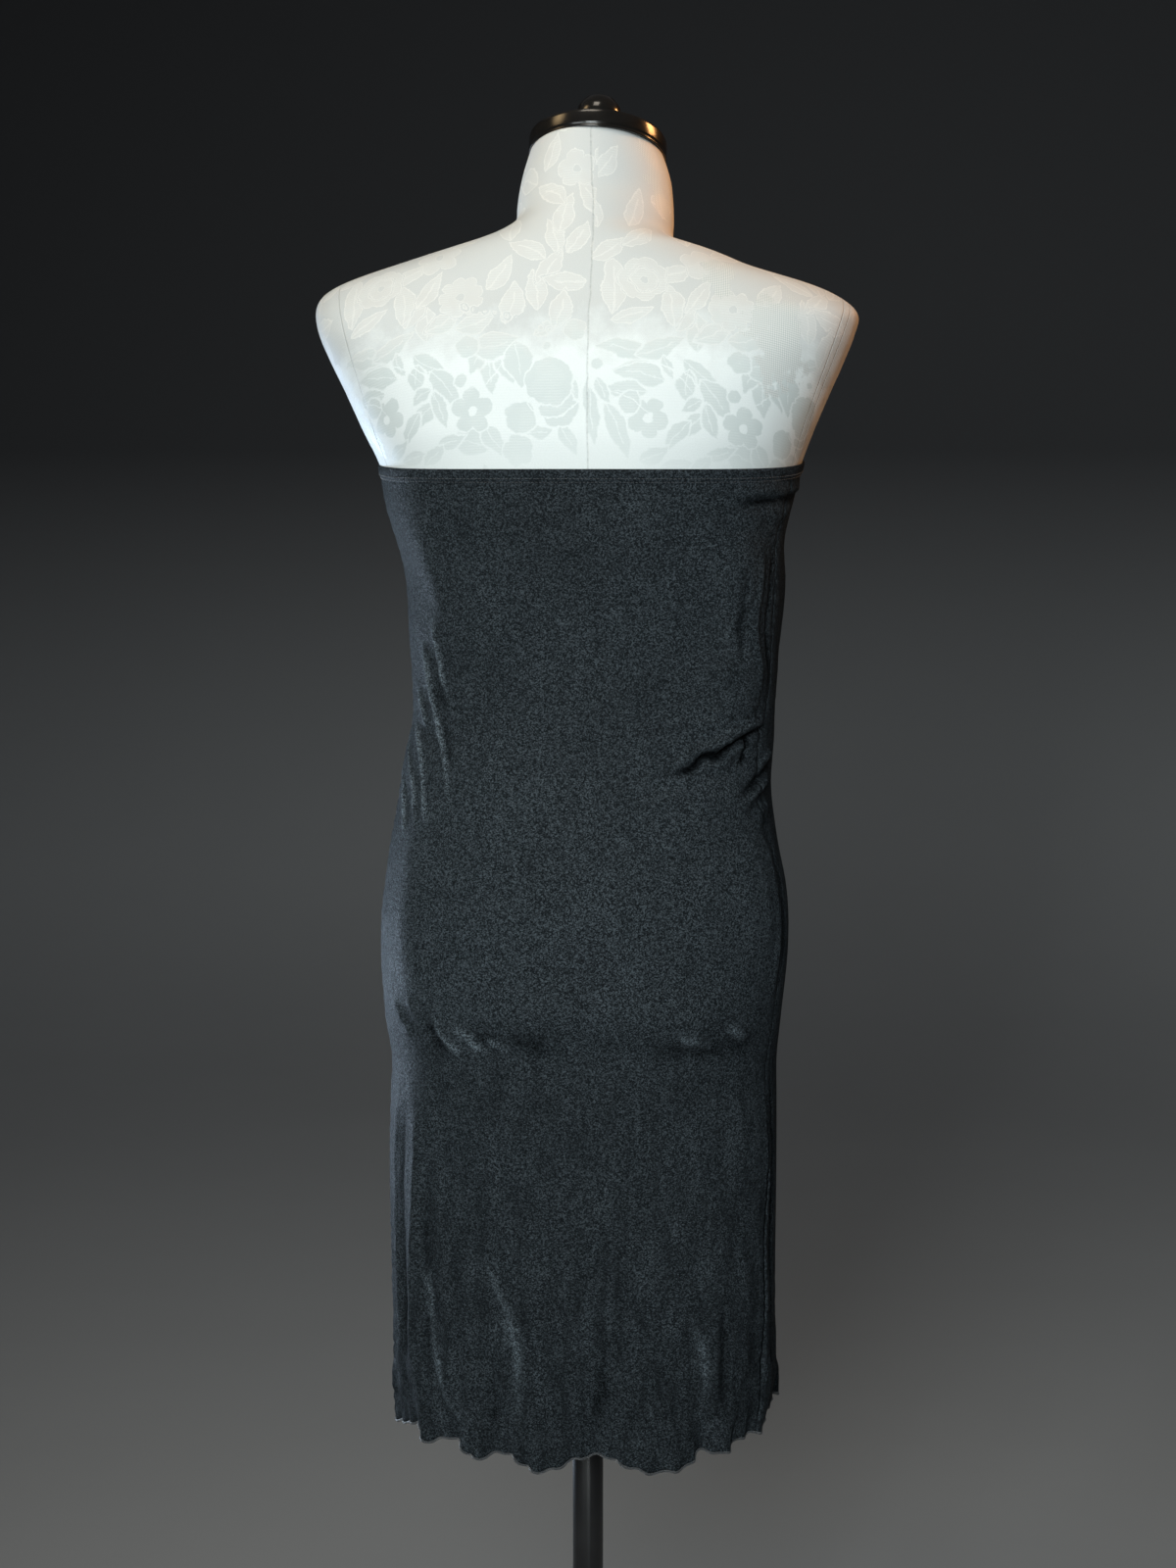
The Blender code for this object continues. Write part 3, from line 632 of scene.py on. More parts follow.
def dress_cloth(points):
    """The cloth's final shape: creases, waves and edges on the smooth form.

    Also how deep in a narrow crease, and how far up a sharp crest, each corner lies, from 0 to 1: the
    painted shade and the painted highlight that its colour gets.
    """
    angles = np.arctan2(points[:, :, 1], points[:, :, 0])
    out = normals_of(points)
    around = lengths_along_rows(points)
    girth = around[:, -1:] + np.linalg.norm(points[:, -1:] - points[:, :1], axis=2)
    above_hem = CLOTH_DROP - row_places[:, None]
    pushes = [crease_push(points, angles, c, i) for i, c in enumerate(CREASES)]
    push = sum(pushes)
    # How far into narrow troughs and up sharp crests each corner lies, for painted shade and painted
    # highlight.
    narrow = [p for p, c in zip(pushes, CREASES) if c.half_width < NARROW]
    deep = np.clip(-sum(np.minimum(p, 0) for p in narrow) / DEEP_CREASE, 0, 1)
    taut = [p for p, c in zip(pushes, CREASES) if c.half_width < TAUT]
    sharp = np.clip(sum(np.maximum(p, 0) for p in taut) / SHARP_CREST, 0, 1)
    to_left = np.minimum(around, girth - around)
    to_right = np.abs(around - around[:, BACK_COLUMNS : BACK_COLUMNS + 1])
    push = push + seam_push(points, to_left, 3.0) + seam_push(points, to_right, 8.0)
    push = push + waves_over(points, SWELL, 20.0)
    hanging = soft_step((FLUTES_FROM - above_hem) / FLUTES_GROW)
    push = push + hanging * waves_over(points, FLUTES, 30.0)
    crinkled = soft_step((CRINKLES_FROM - above_hem) / CRINKLES_GROW)
    push = push + crinkled * waves_over(points, CRINKLES, 40.0)
    waves = np.round(girth[-1] / RUFFLE_PITCH) / girth * around * 2 * pi
    waves = waves + 2.5 * noise_over(points, 0.060, 0.200, 50.0)
    ruffle = np.exp(-above_hem / RUFFLE_REACH)
    push = push + RUFFLE_OUT * ruffle * np.cos(waves)
    moved = points + out * push[:, :, None]
    moved[:, :, 2] -= RUFFLE_DOWN * ruffle * np.sin(waves)
    return clear_of_form(moved), np.stack([deep, sharp], -1)


def waves_over(points, kind, seed):
    """Uneven waves of one kind: its height, and its size across and down."""
    height, across, down = kind
    return height * noise_over(points, across, down, seed)


def lengths_along_rows(points):
    """How far round from the first column each point lies, row by row."""
    steps = np.linalg.norm(np.diff(points, axis=1), axis=2)
    return np.concatenate([np.zeros((len(points), 1)), np.cumsum(steps, axis=1)], axis=1)


def clear_of_form(points, least=1.3 * MM, below=4 * MM, within=20 * MM):
    """Pushes out any corner that is nearer than `least` to the form, down to `below` its underside."""
    moved = points.copy()
    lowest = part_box("torso")[0].z - below
    for i, j in zip(*np.nonzero(points[:, :, 2] > lowest)):
        point = Vector(points[i, j])
        near, normal, _, _ = form_tree.find_nearest(point, within)
        if near is None:
            continue
        height = (point - near).dot(normal)
        if height < least:
            moved[i, j] = point + normal * (least - height)
    return moved


# The second result says how much painted crease shade and painted crest highlight the knit's colour gets.
moved, painted_crease_shading = dress_cloth(cloth)
# Where each column lies across the flat cloth, and how far on the column that closes the ring is.
WIDTHS = lengths_along_rows(cloth).mean(0)
LAST_STEP = 3 * MM


def flat_grid(across, down):
    """The flat places of a grid's corners, from those of its columns and of its rows."""
    return np.stack(np.broadcast_arrays(across, down), -1)


def panel(name, columns):
    """One panel as a thin shell, its flat map in metres across and down."""
    columns = np.array(columns) % moved.shape[1]
    grid = moved[:, columns]
    before_end = np.arange(len(columns)) + columns[0] < moved.shape[1]
    across = np.where(before_end, WIDTHS[columns], WIDTHS[-1] + LAST_STEP)
    flat = flat_grid(across[None, :], -row_places[:, None])
    # The second map carries the painted shade of narrow creases and the painted highlight of sharp
    # crests.
    piece = grid_object(name, grid, [("flow", flat), ("painted_crease_shading", painted_crease_shading[:, columns])], closed=False)
    shell = piece.modifiers.new("shell", "SOLIDIFY")
    shell.thickness = SHELL
    shell.offset = -1
    return piece


back_cloth = panel("back_cloth", range(0, BACK_COLUMNS + 1))
front_cloth = panel("front_cloth", range(BACK_COLUMNS, BACK_COLUMNS + FRONT_COLUMNS + 1))


# The top band's section: how far out, and how high, from the panels' top edge, here in mm.
BAND_SECTION = MM * np.array([
    (0.00, -1.0), (0.05, 0.2), (0.60, 1.4), (0.85, 3.0), (0.90, 5.5), (0.90, 8.0), (0.60, 9.7),
    (0.00, 10.3), (-0.70, 9.9), (-1.00, 8.5), (-1.00, 4.0), (-0.95, 0.0), (-0.85, -1.2),
])


def edge_frame(grid, smooth_over=6):
    """The top row of the cloth, with its outward and upward directions."""
    up = grid[0] - grid[smooth_over]
    up /= np.linalg.norm(up, axis=1, keepdims=True)
    out = normals_of(grid)[0]
    return grid[0], out, up


def swept(name, line, out, up, section):
    """A tube whose section, in (out, up), is carried along an open line of points."""
    grid = line[:, None] + section[None, :, :1] * out[:, None] + section[None, :, 1:] * up[:, None]
    round_it = lengths_along(np.column_stack([section, 0 * section[:, :1]]))
    flat = flat_grid(lengths_along(line)[:, None], round_it[None, :])
    piece = grid_object(name, grid, [("flow", flat)], ends=True)
    face_outwards(piece)
    return piece


# The bands and rolls stop this far short of each side seam.
SEAM_GAP = 0.2 * MM
EDGES = {"back": (0, BACK_COLUMNS), "front": (BACK_COLUMNS, BACK_COLUMNS + FRONT_COLUMNS)}


def edging(ending, ring, section, spacing):
    """A strip along each panel's part of a ring of (points, outward, upward), in small even steps."""
    made = {}
    for side, (first, last) in EDGES.items():
        knots = lengths_along(ring[0], closed=True)
        start, end = knots[first], knots[last]
        where = np.linspace(start, end, int((end - start) / spacing) + 1)
        where[0] += SEAM_GAP
        where[-1] -= SEAM_GAP
        line, out, up = (curve_at(knots, values, where, closed=True) for values in ring)
        made[side] = swept(side + ending, line, out, up, section)
    return made


top_edge = edge_frame(cloth)
bands = edging("_band_cloth", top_edge, BAND_SECTION, 1.6 * MM)

hem = moved[-1]
hem_out = normals_of(cloth)[-1]
hem_up = np.cross(np.roll(hem, -1, 0) - np.roll(hem, 1, 0), hem_out)
hem_up /= np.linalg.norm(hem_up, axis=1, keepdims=True)
hem_up *= np.sign(hem_up[:, 2:3])
ROLL_RADIUS = 1.1 * MM
ROLL_TURNS = [2 * pi * i / 8 for i in range(8)]
ROLL_SECTION = np.array([
    (ROLL_RADIUS * cos(t) - SHELL / 2, ROLL_RADIUS * (sin(t) - 0.7)) for t in ROLL_TURNS
])
rolls = edging("_hem_roll_cloth", (hem, hem_out, hem_up), ROLL_SECTION, 1.0 * MM)


# A stitch is a six-sided bar with sunk ends. Its rings: how far along, how thick and how far proud, as
# shares of its length, radius and radius.
STITCH_RINGS = [(-0.50, 0.35, -0.6), (-0.28, 1.0, 0.5), (0.28, 1.0, 0.5), (0.50, 0.35, -0.6)]


def stitch_row(name, heights, pitch=3.0 * MM, length=2.3 * MM, radius=0.22 * MM):
    """Rows of short stitches round the top band, as one mesh."""
    knots = lengths_along(top_edge[0], closed=True)
    count = round(knots[-1] / pitch)
    points, faces = [], []
    outer = BAND_SECTION[:6]
    for row, height in enumerate(heights):
        proud = float(np.interp(height, outer[:, 1], outer[:, 0]))
        for k in range(count):
            middle = (k + 0.5 * (row % 2)) / count * knots[-1]
            where = (middle + np.array(STITCH_RINGS)[:, 0] * length) % knots[-1]
            line, out, up = (curve_at(knots, values, where, closed=True) for values in top_edge)
            start = len(points)
            for p, o, u, (_, size, lift) in zip(line, out, up, STITCH_RINGS):
                centre = p + u * height + o * (proud + lift * radius)
                for i in range(6):
                    points.append(centre + size * radius * (o * cos(pi * i / 3) + u * sin(pi * i / 3)))
            for ring in range(3):
                for i in range(6):
                    a, b = start + 6 * ring + i, start + 6 * ring + (i + 1) % 6
                    faces.append((a, b, b + 6, a + 6))
            faces.append(tuple(start + i for i in reversed(range(6))))
            faces.append(tuple(start + 18 + i for i in range(6)))
    mesh = bpy.data.meshes.new(name)
    mesh.from_pydata([tuple(p) for p in points], [], faces)
    piece = linked(name, mesh)
    face_outwards(piece)
    return piece


stitches = stitch_row("top_band_stitches", (0.3 * MM, 3.1 * MM))


def smooth_copy(node, name, sharp=35):
    """A welded copy of a CAD solid with smooth shading, for the hard parts."""
    bm = welded(node)
    mesh = bpy.data.meshes.new(name)
    bm.to_mesh(mesh)
    bm.free()
    piece = linked(name, mesh)
    mesh.set_sharp_from_angle(angle=radians(sharp))
    return piece


# The cap's outline from its foot to the rim of its crown, as (out from the foot's edge, up) in mm: a lip,
# a groove over it, the straight side and the rounded top edge.
CAP_SIDE = MM * np.array([
    (-1.0, 0.1), (0.7, 0.1), (1.1, 0.6), (1.1, 1.6), (0.6, 2.2), (0.1, 2.5), (0.1, 3.0), (0.6, 3.5),
    (0.8, 4.5), (0.9, 12.0), (0.8, 13.6), (0.3, 14.5), (-0.6, 15.0), (-2.0, 15.2),
])
# Its crown, as (share of the way in to the middle, up in mm).
CAP_CROWN = [(0.10, 15.6), (0.25, 16.3), (0.45, 17.0), (0.70, 17.6), (0.90, 17.9), (0.985, 18.0)]


def moulded_cap(node, name, columns=120):
    """The neck cap with its lip and edges, built up from the outmost corners of its CAD solid's foot."""
    bm = welded(node)
    under = [face for face in bm.faces if face.normal.z < -0.7]
    axis = -sum((face.normal * face.calc_area() for face in under), Vector()).normalized()
    foot = sum((face.calc_center_median() * face.calc_area() for face in under), Vector())
    foot /= sum(face.calc_area() for face in under)
    side = axis.orthogonal().normalized()
    other = axis.cross(side)
    spokes = [vert.co - foot for vert in {vert for face in under for vert in face.verts}]
    turned = np.array([np.arctan2(spoke.dot(other), spoke.dot(side)) for spoke in spokes])
    reach = np.array([spoke.length for spoke in spokes])
    bm.free()
    # The foot's edge in even directions: the outmost corner within 6 degrees, then a running mean.
    even = np.linspace(-pi, pi, columns, endpoint=False)
    apart = np.abs((turned[None] - even[:, None] + pi) % (2 * pi) - pi)
    outmost = np.where(apart < radians(6), reach[None], 0).max(1)
    outmost = sum(np.roll(outmost, k) for k in range(-3, 4)) / 7
    out = np.cos(even)[:, None] * np.array(side) + np.sin(even)[:, None] * np.array(other)
    foot, axis = np.array(foot), np.array(axis)
    rows = [foot + out * (outmost[:, None] + reach) + axis * up for reach, up in CAP_SIDE]
    rows += [foot + out * outmost[:, None] * (1 - share) + axis * up * MM for share, up in CAP_CROWN]
    piece = grid_object(name, np.array(rows), ends=True)
    face_outwards(piece)
    piece.data.set_sharp_from_angle(angle=radians(50))
    return piece


HARD = {
    "cap_knob": "knob_turned",
    "pole": "pole_tube",
    "pole_collar": "collar_turned",
    "pole_socket": "socket_turned",
    "base": "base_plate",
}
hard = {node: smooth_copy(node, name) for node, name in HARD.items()}
hard["neck_cap"] = moulded_cap("neck_cap", "cap_moulded")


# ---------------------------------------------------------------- materials


class Graph:
    """Small helpers for building a node tree. A value is a number, a vector or another node's socket."""

    def __init__(self, tree):
        self.tree = tree

    def node(self, kind, inputs=(), **settings):
        made = self.tree.nodes.new(kind)
        for key, value in settings.items():
            setattr(made, key, value)
        for key, value in dict(inputs).items():
            if isinstance(value, bpy.types.NodeSocket):
                self.tree.links.new(value, made.inputs[key])
            else:
                made.inputs[key].default_value = value
        return made

    def place(self):
        """Where the shaded point is, in metres."""
        return self.node("ShaderNodeTexCoord").outputs["Object"]

    def flat(self, layer):
        """What one of the piece's flat maps says there."""
        return self.node("ShaderNodeUVMap", uv_map=layer).outputs[0]

    def math(self, operation, *values, clamp=False):
        made = self.node("ShaderNodeMath", enumerate(values), operation=operation, use_clamp=clamp)
        return made.outputs[0]

    plus = partialmethod(math, "ADD")
    minus = partialmethod(math, "SUBTRACT")
    times = partialmethod(math, "MULTIPLY")
    over = partialmethod(math, "DIVIDE")
    times_plus = partialmethod(math, "MULTIPLY_ADD")
    power = partialmethod(math, "POWER")
    absolute = partialmethod(math, "ABSOLUTE")
    sine = partialmethod(math, "SINE")
    larger = partialmethod(math, "MAXIMUM")

    def vector(self, operation, *values, output=0):
        made = self.node("ShaderNodeVectorMath", enumerate(values), operation=operation)
        return made.outputs[output]

    def combine(self, x, y, z=0.0):
        return self.node("ShaderNodeCombineXYZ", {0: x, 1: y, 2: z}).outputs[0]

    def separate(self, vector):
        return self.node("ShaderNodeSeparateXYZ", {0: vector}).outputs

    def mix(self, share, a, b):
        return self.node("ShaderNodeMix", {0: share, 6: a, 7: b}, data_type="RGBA").outputs[2]

    def ramp(self, share, low, high):
        """0 at `low`, 1 at `high`, held between."""
        made = self.node("ShaderNodeMapRange", {0: share, 1: low, 2: high, 3: 0.0, 4: 1.0})
        return made.outputs[0]

    def noise(self, vector, scale, detail=2.0, roughness=0.5, output=0):
        inputs = {"Vector": vector, "Scale": scale, "Detail": detail, "Roughness": roughness}
        return self.node("ShaderNodeTexNoise", inputs).outputs[output]

    def cells(self, vector, scale):
        return self.node("ShaderNodeTexVoronoi", {"Vector": vector, "Scale": scale}).outputs["Color"]

    def bump(self, height, distance, strength=1.0, normal=None):
        inputs = {"Height": height, "Distance": distance, "Strength": strength}
        if normal is not None:
            inputs["Normal"] = normal
        return self.node("ShaderNodeBump", inputs).outputs[0]


def material(name, **values):
    """A new material, the graph of its nodes, and its shader with some of its values set."""
    made = bpy.data.materials.new(name)
    made.use_nodes = True
    graph = Graph(made.node_tree)
    shader = made.node_tree.nodes["Principled BSDF"]
    for key, value in values.items():
        shader.inputs[key.replace("_", " ")].default_value = value
    return made, graph, shader


def connect(graph, shader, **sockets):
    """Links values to the shader's sockets, whose names have _ for a space."""
    for key, value in sockets.items():
        graph.tree.links.new(value, shader.inputs[key.replace("_", " ")])


# The knit's loops, and one wrap of the hem's overlock stitch.
LOOP_WIDTH, LOOP_HEIGHT = 1.1 * MM, 1.4 * MM
WRAP_PITCH = 1.1 * MM
# How many come in a metre: bright filaments, fine glitter, crushed spots and cloudy patches. And the
# streaks, across and down.
FILAMENTS, GLITTER, CRUSHED, CLOUDS = 1150.0, 520.0, 190.0, 14.0
STREAKS = (90.0, 22.0)
# How deep the glitter and the crushed spots are, as bumps.
GRAIN_DEPTH = 1.1 * MM
# Heights on the flat cloth, 0 at the top edge: where a painted highlight over the seat starts and stops,
# and where towards the hem the skirt's streaks grow and painted shade darkens the cloth.
SEAT_STARTS, SEAT_STOPS = (-0.16, -0.34), (-0.450, -0.405)
HEM_GROWS = (-0.44, -0.64)


def knit_material(name, base, ribs_down=False):
    """Fine slinky knit: dark, close, and full of tiny brighter filaments that glint at a low light."""
    made, g, shader = material(
        name, Diffuse_Roughness=0.4, Specular_IOR_Level=0.01, Sheen_Weight=0.006, Sheen_Roughness=0.3,
        Sheen_Tint=(0.62, 0.78, 1.0, 1),
    )
    place = g.place()
    across, down, _ = g.separate(g.flat("flow"))
    grain = g.node("ShaderNodeSeparateColor", {0: g.cells(place, FILAMENTS)}).outputs
    spark = g.times(g.power(grain[0], 2.0), 0.85)
    cloudy = g.ramp(g.noise(place, CLOUDS, 3.0, 0.55), 0.3, 0.7)
    # Upright streaks: uneven tone in the knit, with painted glints that grow towards the hem.
    stretched = g.combine(g.times(across, STREAKS[0]), g.times(down, STREAKS[1]))
    streaky = g.noise(stretched, 1.0, 3.0, 0.65)
    hem = g.ramp(down, *HEM_GROWS)
    streak = g.times(g.ramp(streaky, 0.34, 0.66), g.times_plus(hem, 0.55, 0.30))
    # A painted highlight over the seat, and painted shade that darkens the cloth towards the hem.
    seat = g.times(g.ramp(down, *SEAT_STARTS), g.ramp(down, *SEAT_STOPS))
    painted_seat_light_hem_shade = g.times_plus(seat, 0.32, g.times_plus(hem, -0.40, 0.70))
    streaks_and_painted_light = g.plus(streak, painted_seat_light_hem_shade)
    tone = g.times(spark, g.times_plus(cloudy, 0.30, streaks_and_painted_light))
    dark = (*[c * 0.40 for c in base], 1)
    light = (*[c * 3.1 for c in base], 1)
    # Narrow creases get painted shade in the colour, and sharp crests a painted highlight. The bands have
    # no such map. It reads 0 there, so their tone stays as it is.
    deep, sharp, _ = g.separate(g.flat("painted_crease_shading"))
    lit = g.plus(g.times_plus(deep, -0.85, 1.0), g.times(sharp, 2.2))
    colour = g.vector("MULTIPLY", g.mix(tone, dark, light), g.combine(lit, lit, lit))
    rough = g.times_plus(grain[1], 0.26, 0.32)
    wales, courses = (down, across) if ribs_down else (across, down)
    rib = g.sine(g.times(wales, 2 * pi / LOOP_WIDTH))
    course = g.sine(g.times(courses, 2 * pi / LOOP_HEIGHT))
    loops = g.times_plus(g.times(rib, course), 0.35, g.times(rib, 0.5))
    glitter = g.noise(place, GLITTER, 3.0, 0.75)
    fine = g.bump(g.plus(g.times(loops, 0.12), glitter), GRAIN_DEPTH)
    normal = g.bump(g.noise(place, CRUSHED, 4.0, 0.70), GRAIN_DEPTH, normal=fine)
    connect(g, shader, Base_Color=colour, Roughness=rough, Normal=normal)
    return made


black_knit = knit_material("black_slinky_knit", (0.0232, 0.0286, 0.0330))
band_knit = knit_material("black_band_knit", (0.0212, 0.0262, 0.0305), ribs_down=True)


def thread_material():
    """Twisted black thread, lighter on its turns."""
    made, g, shader = material("black_thread", Sheen_Weight=0.3, Specular_IOR_Level=0.5)
    twist = g.noise(g.place(), 1400.0, 2.0)
    colour = g.mix(twist, (0.016, 0.018, 0.021, 1), (0.050, 0.055, 0.062, 1))
    rough = g.times_plus(twist, 0.2, 0.35)
    connect(g, shader, Base_Color=colour, Roughness=rough, Normal=g.bump(twist, 0.1 * MM))
    return made


def overlock_material():
    """Close overlock stitches wrapped over the rolled hem."""
    made, g, shader = material("overlocked_edge", Sheen_Weight=0.35, Specular_IOR_Level=0.6)
    across, round_it, _ = g.separate(g.flat("flow"))
    slant = g.plus(across, g.times(round_it, 0.35))
    lift = g.ramp(g.sine(g.times(slant, 2 * pi / WRAP_PITCH)), -1.0, 1.0)
    # The raised part of each wrap is painted lighter: a painted highlight on the black thread.
    colour = g.mix(lift, (0.014, 0.016, 0.019, 1), (0.060, 0.068, 0.078, 1))
    rough = g.times_plus(lift, -0.15, 0.50)
    connect(g, shader, Base_Color=colour, Roughness=rough, Normal=g.bump(lift, 0.25 * MM))
    return made


# ---------------------------------------------------------------- the cover's woven pattern

# The pattern is laid out in millimetres on the flat cloth, from the back seam (a, to the form's left)
# and from the dress's top edge (b, up), and comes again every PATTERN_WIDTH and PATTERN_HEIGHT. The
# length of cloth on the other side of the back seam was laid PATTERN_DROP lower. PATTERN_START is where
# the seam meets the top edge on the flat map, in metres.
PATTERN_WIDTH = 204.0
PATTERN_HEIGHT = 300.0
PATTERN_DROP = 10.0
PATTERN_START = (-0.0130, 0.4870)

# Round motifs: flowers, blooms and dots. Depth is how deep the gaps between the petals are, as a share
# of the size, and eye the radius left open in the middle. Without petals it is a plain disc.
Round = namedtuple("Round", "a b size petals depth eye turn", defaults=[0, 0.0, 0.0, 0])
ROUNDS = [Round(*row) for row in [
    (87, 42, 17, 5, 0.4, 3, 18), (95, 65, 5.2), (-45, 46, 16, 5, 0.38, 3.2, 50), (-31, 58, 8.5),
    (21, 43, 15, 6, 0.16), (28, 63, 18.5, 9, 0.08, 0, 10), (50, 36, 12.5, 4, 0.1, 0, 45),
    (52, 12, 12, 5, 0.14), (-7, 85, 4.4), (91, 90, 9, 5, 0.12), (31, 89, 3.6),
    (10, 100, 9, 5, 0.14), (-39, 153, 19.2, 7, 0.14), (-40, 152, 10.8, 5, 0.2, 2.8),
    (98, 130, 18, 9, 0.24, 3), (-84, 172, 18, 5, 0.4, 3.4, 10), (16, 238, 15.6, 5, 0.36, 2.5, 10),
    (84, 225, 18, 5, 0.4, 3.4, 40),
]]

# Leaves: the middle, the way the tip points as seen from behind (degrees, 0 is right and 90 up), half
# the length, and the width and the bend as shares of that.
Leaf = namedtuple("Leaf", "a b turn length width bend", defaults=[0.10])
LEAVES = [Leaf(*row) for row in [
    (120, 81, -32, 16, 0.47, 0.14), (130, 70, -95, 12, 0.62), (109, 60, -52, 19, 0.47, -0.12),
    (127, 56, -150, 10, 0.56), (125, 41, -130, 13, 0.54), (111, 45, -72, 15, 0.4),
    (137, 33, -128, 16, 0.4, 0.08), (72, 71, -86, 19, 0.43, 0.05), (81, 81, -118, 15, 0.52),
    (62, 72, -62, 15, 0.47, -0.1), (70, 92, 12, 20, 0.52), (51, 76, -82, 18, 0.62, 0.05),
    (86, 20, -16, 18, 0.56), (69, 20, -58, 16, 0.47), (104, 22, 12, 12, 0.47),
    (120, 12, 40, 12, 0.56), (10, 58, -68, 10, 0.47), (35, 26, 10, 10, 0.54),
    (13, 20, -62, 13, 0.47), (-4, 46, -84, 22, 0.3, 0.04), (-22, 36, -68, 24, 0.32, -0.05),
    (-38, 77, 168, 21, 0.43, 0.12), (-28, 66, 176, 17, 0.45, 0), (-12, 66, -62, 11, 0.47),
    (-26, 95, 168, 22, 0.34), (-54, 99, 22, 20, 0.38), (-60, 83, -64, 10, 0.45),
    (-50, 20, 30, 13, 0.47), (-66, 12, 10, 13, 0.47), (30, 104, 25, 13, 0.45),
    (125, 112, 98, 17, 0.54), (134, 126, 72, 17, 0.52), (110, 112, 30, 18, 0.43),
    (84, 110, 18, 18, 0.48), (60, 124, 82, 19, 0.52), (42, 134, 100, 18, 0.48),
    (32, 154, 58, 18, 0.45), (20, 142, 172, 18, 0.43, -0.1), (22, 118, 80, 17, 0.52),
    (12, 178, 62, 17, 0.45), (31, 180, 110, 17, 0.45), (50, 168, 152, 18, 0.43),
    (-15, 150, 96, 27, 0.35), (-12, 180, 40, 18, 0.43), (-60, 132, 100, 19, 0.48),
    (-80, 140, 62, 18, 0.43), (-32, 124, 20, 18, 0.35), (70, 150, 60, 18, 0.45),
    (-62, 160, 20, 18, 0.43), (22, 200, 76, 19, 0.43, -0.08), (6, 214, 120, 19, 0.41),
    (-34, 196, 50, 19, 0.41), (-30, 224, 78, 20, 0.41), (36, 220, 140, 18, 0.41),
    (-6, 256, 62, 17, 0.45), (38, 256, 72, 17, 0.45), (68, 196, 100, 19, 0.45),
    (100, 196, 40, 19, 0.45), (64, 246, 140, 19, 0.45), (-66, 210, 110, 19, 0.45),
    (-60, 250, 40, 19, 0.45), (104, 254, 80, 19, 0.45), (20, 282, 20, 19, 0.45),
    (76, 284, 100, 19, 0.45), (-40, 284, 130, 19, 0.45), (122, 284, 30, 19, 0.45),
]]

# Light curved lines, such as stems and the edges of petals: part of a circle, from its middle angle (as
# seen from behind) to as many degrees either way as it reaches.
Arc = namedtuple("Arc", "a b radius middle reach width")
ARCS = [Arc(*row) for row in [
    (27, 58, 21.5, -75, 95, 0.9), (151, 50, 35, 36, 34, 0.9), (31, 89, 4.9, 0, 180, 0.8),
    (96, 90, 34, -45, 34, 0.7), (-40, 40, 46, 78, 46, 0.9), (-7, 85, 6, 0, 180, 0.6),
    (28, 70, 17, 100, 60, 0.6), (-39, 153, 12.5, 40, 120, 0.7), (60, 150, 60, -55, 40, 0.7),
    (0, 190, 40, 10, 40, 0.7), (-10, 20, 46, 60, 30, 0.7),
]]

# Patches of open net ground: the middle, and how far they reach across and up.
Patch = namedtuple("Patch", "a b across up")
PATCHES = [Patch(-141, 103, 26, 36), Patch(-58, 262, 26, 30), Patch(-96, 152, 12, 22)]


def motif_group(name, sizes, draw):
    """A shader group that adds one motif to a place (across, up, pattern so far)."""
    tree = bpy.data.node_groups.new(name, "ShaderNodeTree")
    tree.interface.new_socket("Place", in_out="INPUT", socket_type="NodeSocketVector")
    for label in ("A", "B", "Turn", *sizes):
        tree.interface.new_socket(label, in_out="INPUT", socket_type="NodeSocketFloat")
    tree.interface.new_socket("Place", in_out="OUTPUT", socket_type="NodeSocketVector")
    g = Graph(tree)
    given = tree.nodes.new("NodeGroupInput").outputs
    result = tree.nodes.new("NodeGroupOutput").inputs
    a, b, before = g.separate(given["Place"])
    along, aside = own_place(g, given, a, b)
    tree.links.new(g.combine(a, b, draw(g, given, along, aside, before)), result[0])
    return tree


def own_place(g, given, a, b):
    """The place as seen from one motif: moved to its middle, the nearest repeat, and turned."""
    half_width, half_height = PATTERN_WIDTH / 2, PATTERN_HEIGHT / 2
    x = g.math("WRAP", g.minus(a, given["A"]), half_width, -half_width)
    y = g.math("WRAP", g.minus(b, given["B"]), half_height, -half_height)
    c, s = g.math("COSINE", given["Turn"]), g.sine(given["Turn"])
    along = g.times_plus(x, c, g.times(y, s))
    aside = g.minus(g.times(y, c), g.times(x, s))
    return along, aside


def laid_over(g, before, inside, margin=1.3, soft=1.0):
    """The motif drawn over the pattern so far, with a fine light line left round it."""
    body = g.over(inside, soft, clamp=True)
    grown = g.over(g.plus(inside, margin), soft, clamp=True)
    kept = g.times(before, g.minus(1.0, grown))
    return g.larger(kept, body)


def draw_round(g, given, along, aside, before):
    """A flower: a disc with a lobed edge and an open eye."""
    far = g.vector("LENGTH", g.combine(along, aside), output=1)
    turn = g.times(g.math("ARCTAN2", aside, along), given["Petals"])
    lobe = g.power(g.absolute(g.math("COSINE", turn)), 0.6)
    edge = g.minus(1.0, g.times(given["Depth"], g.minus(1.0, lobe)))
    inside = g.minus(g.times(edge, given["Size"]), far)
    open_eye = g.over(g.minus(far, given["Eye"]), 0.5, clamp=True)
    return g.times(laid_over(g, before, inside), open_eye)


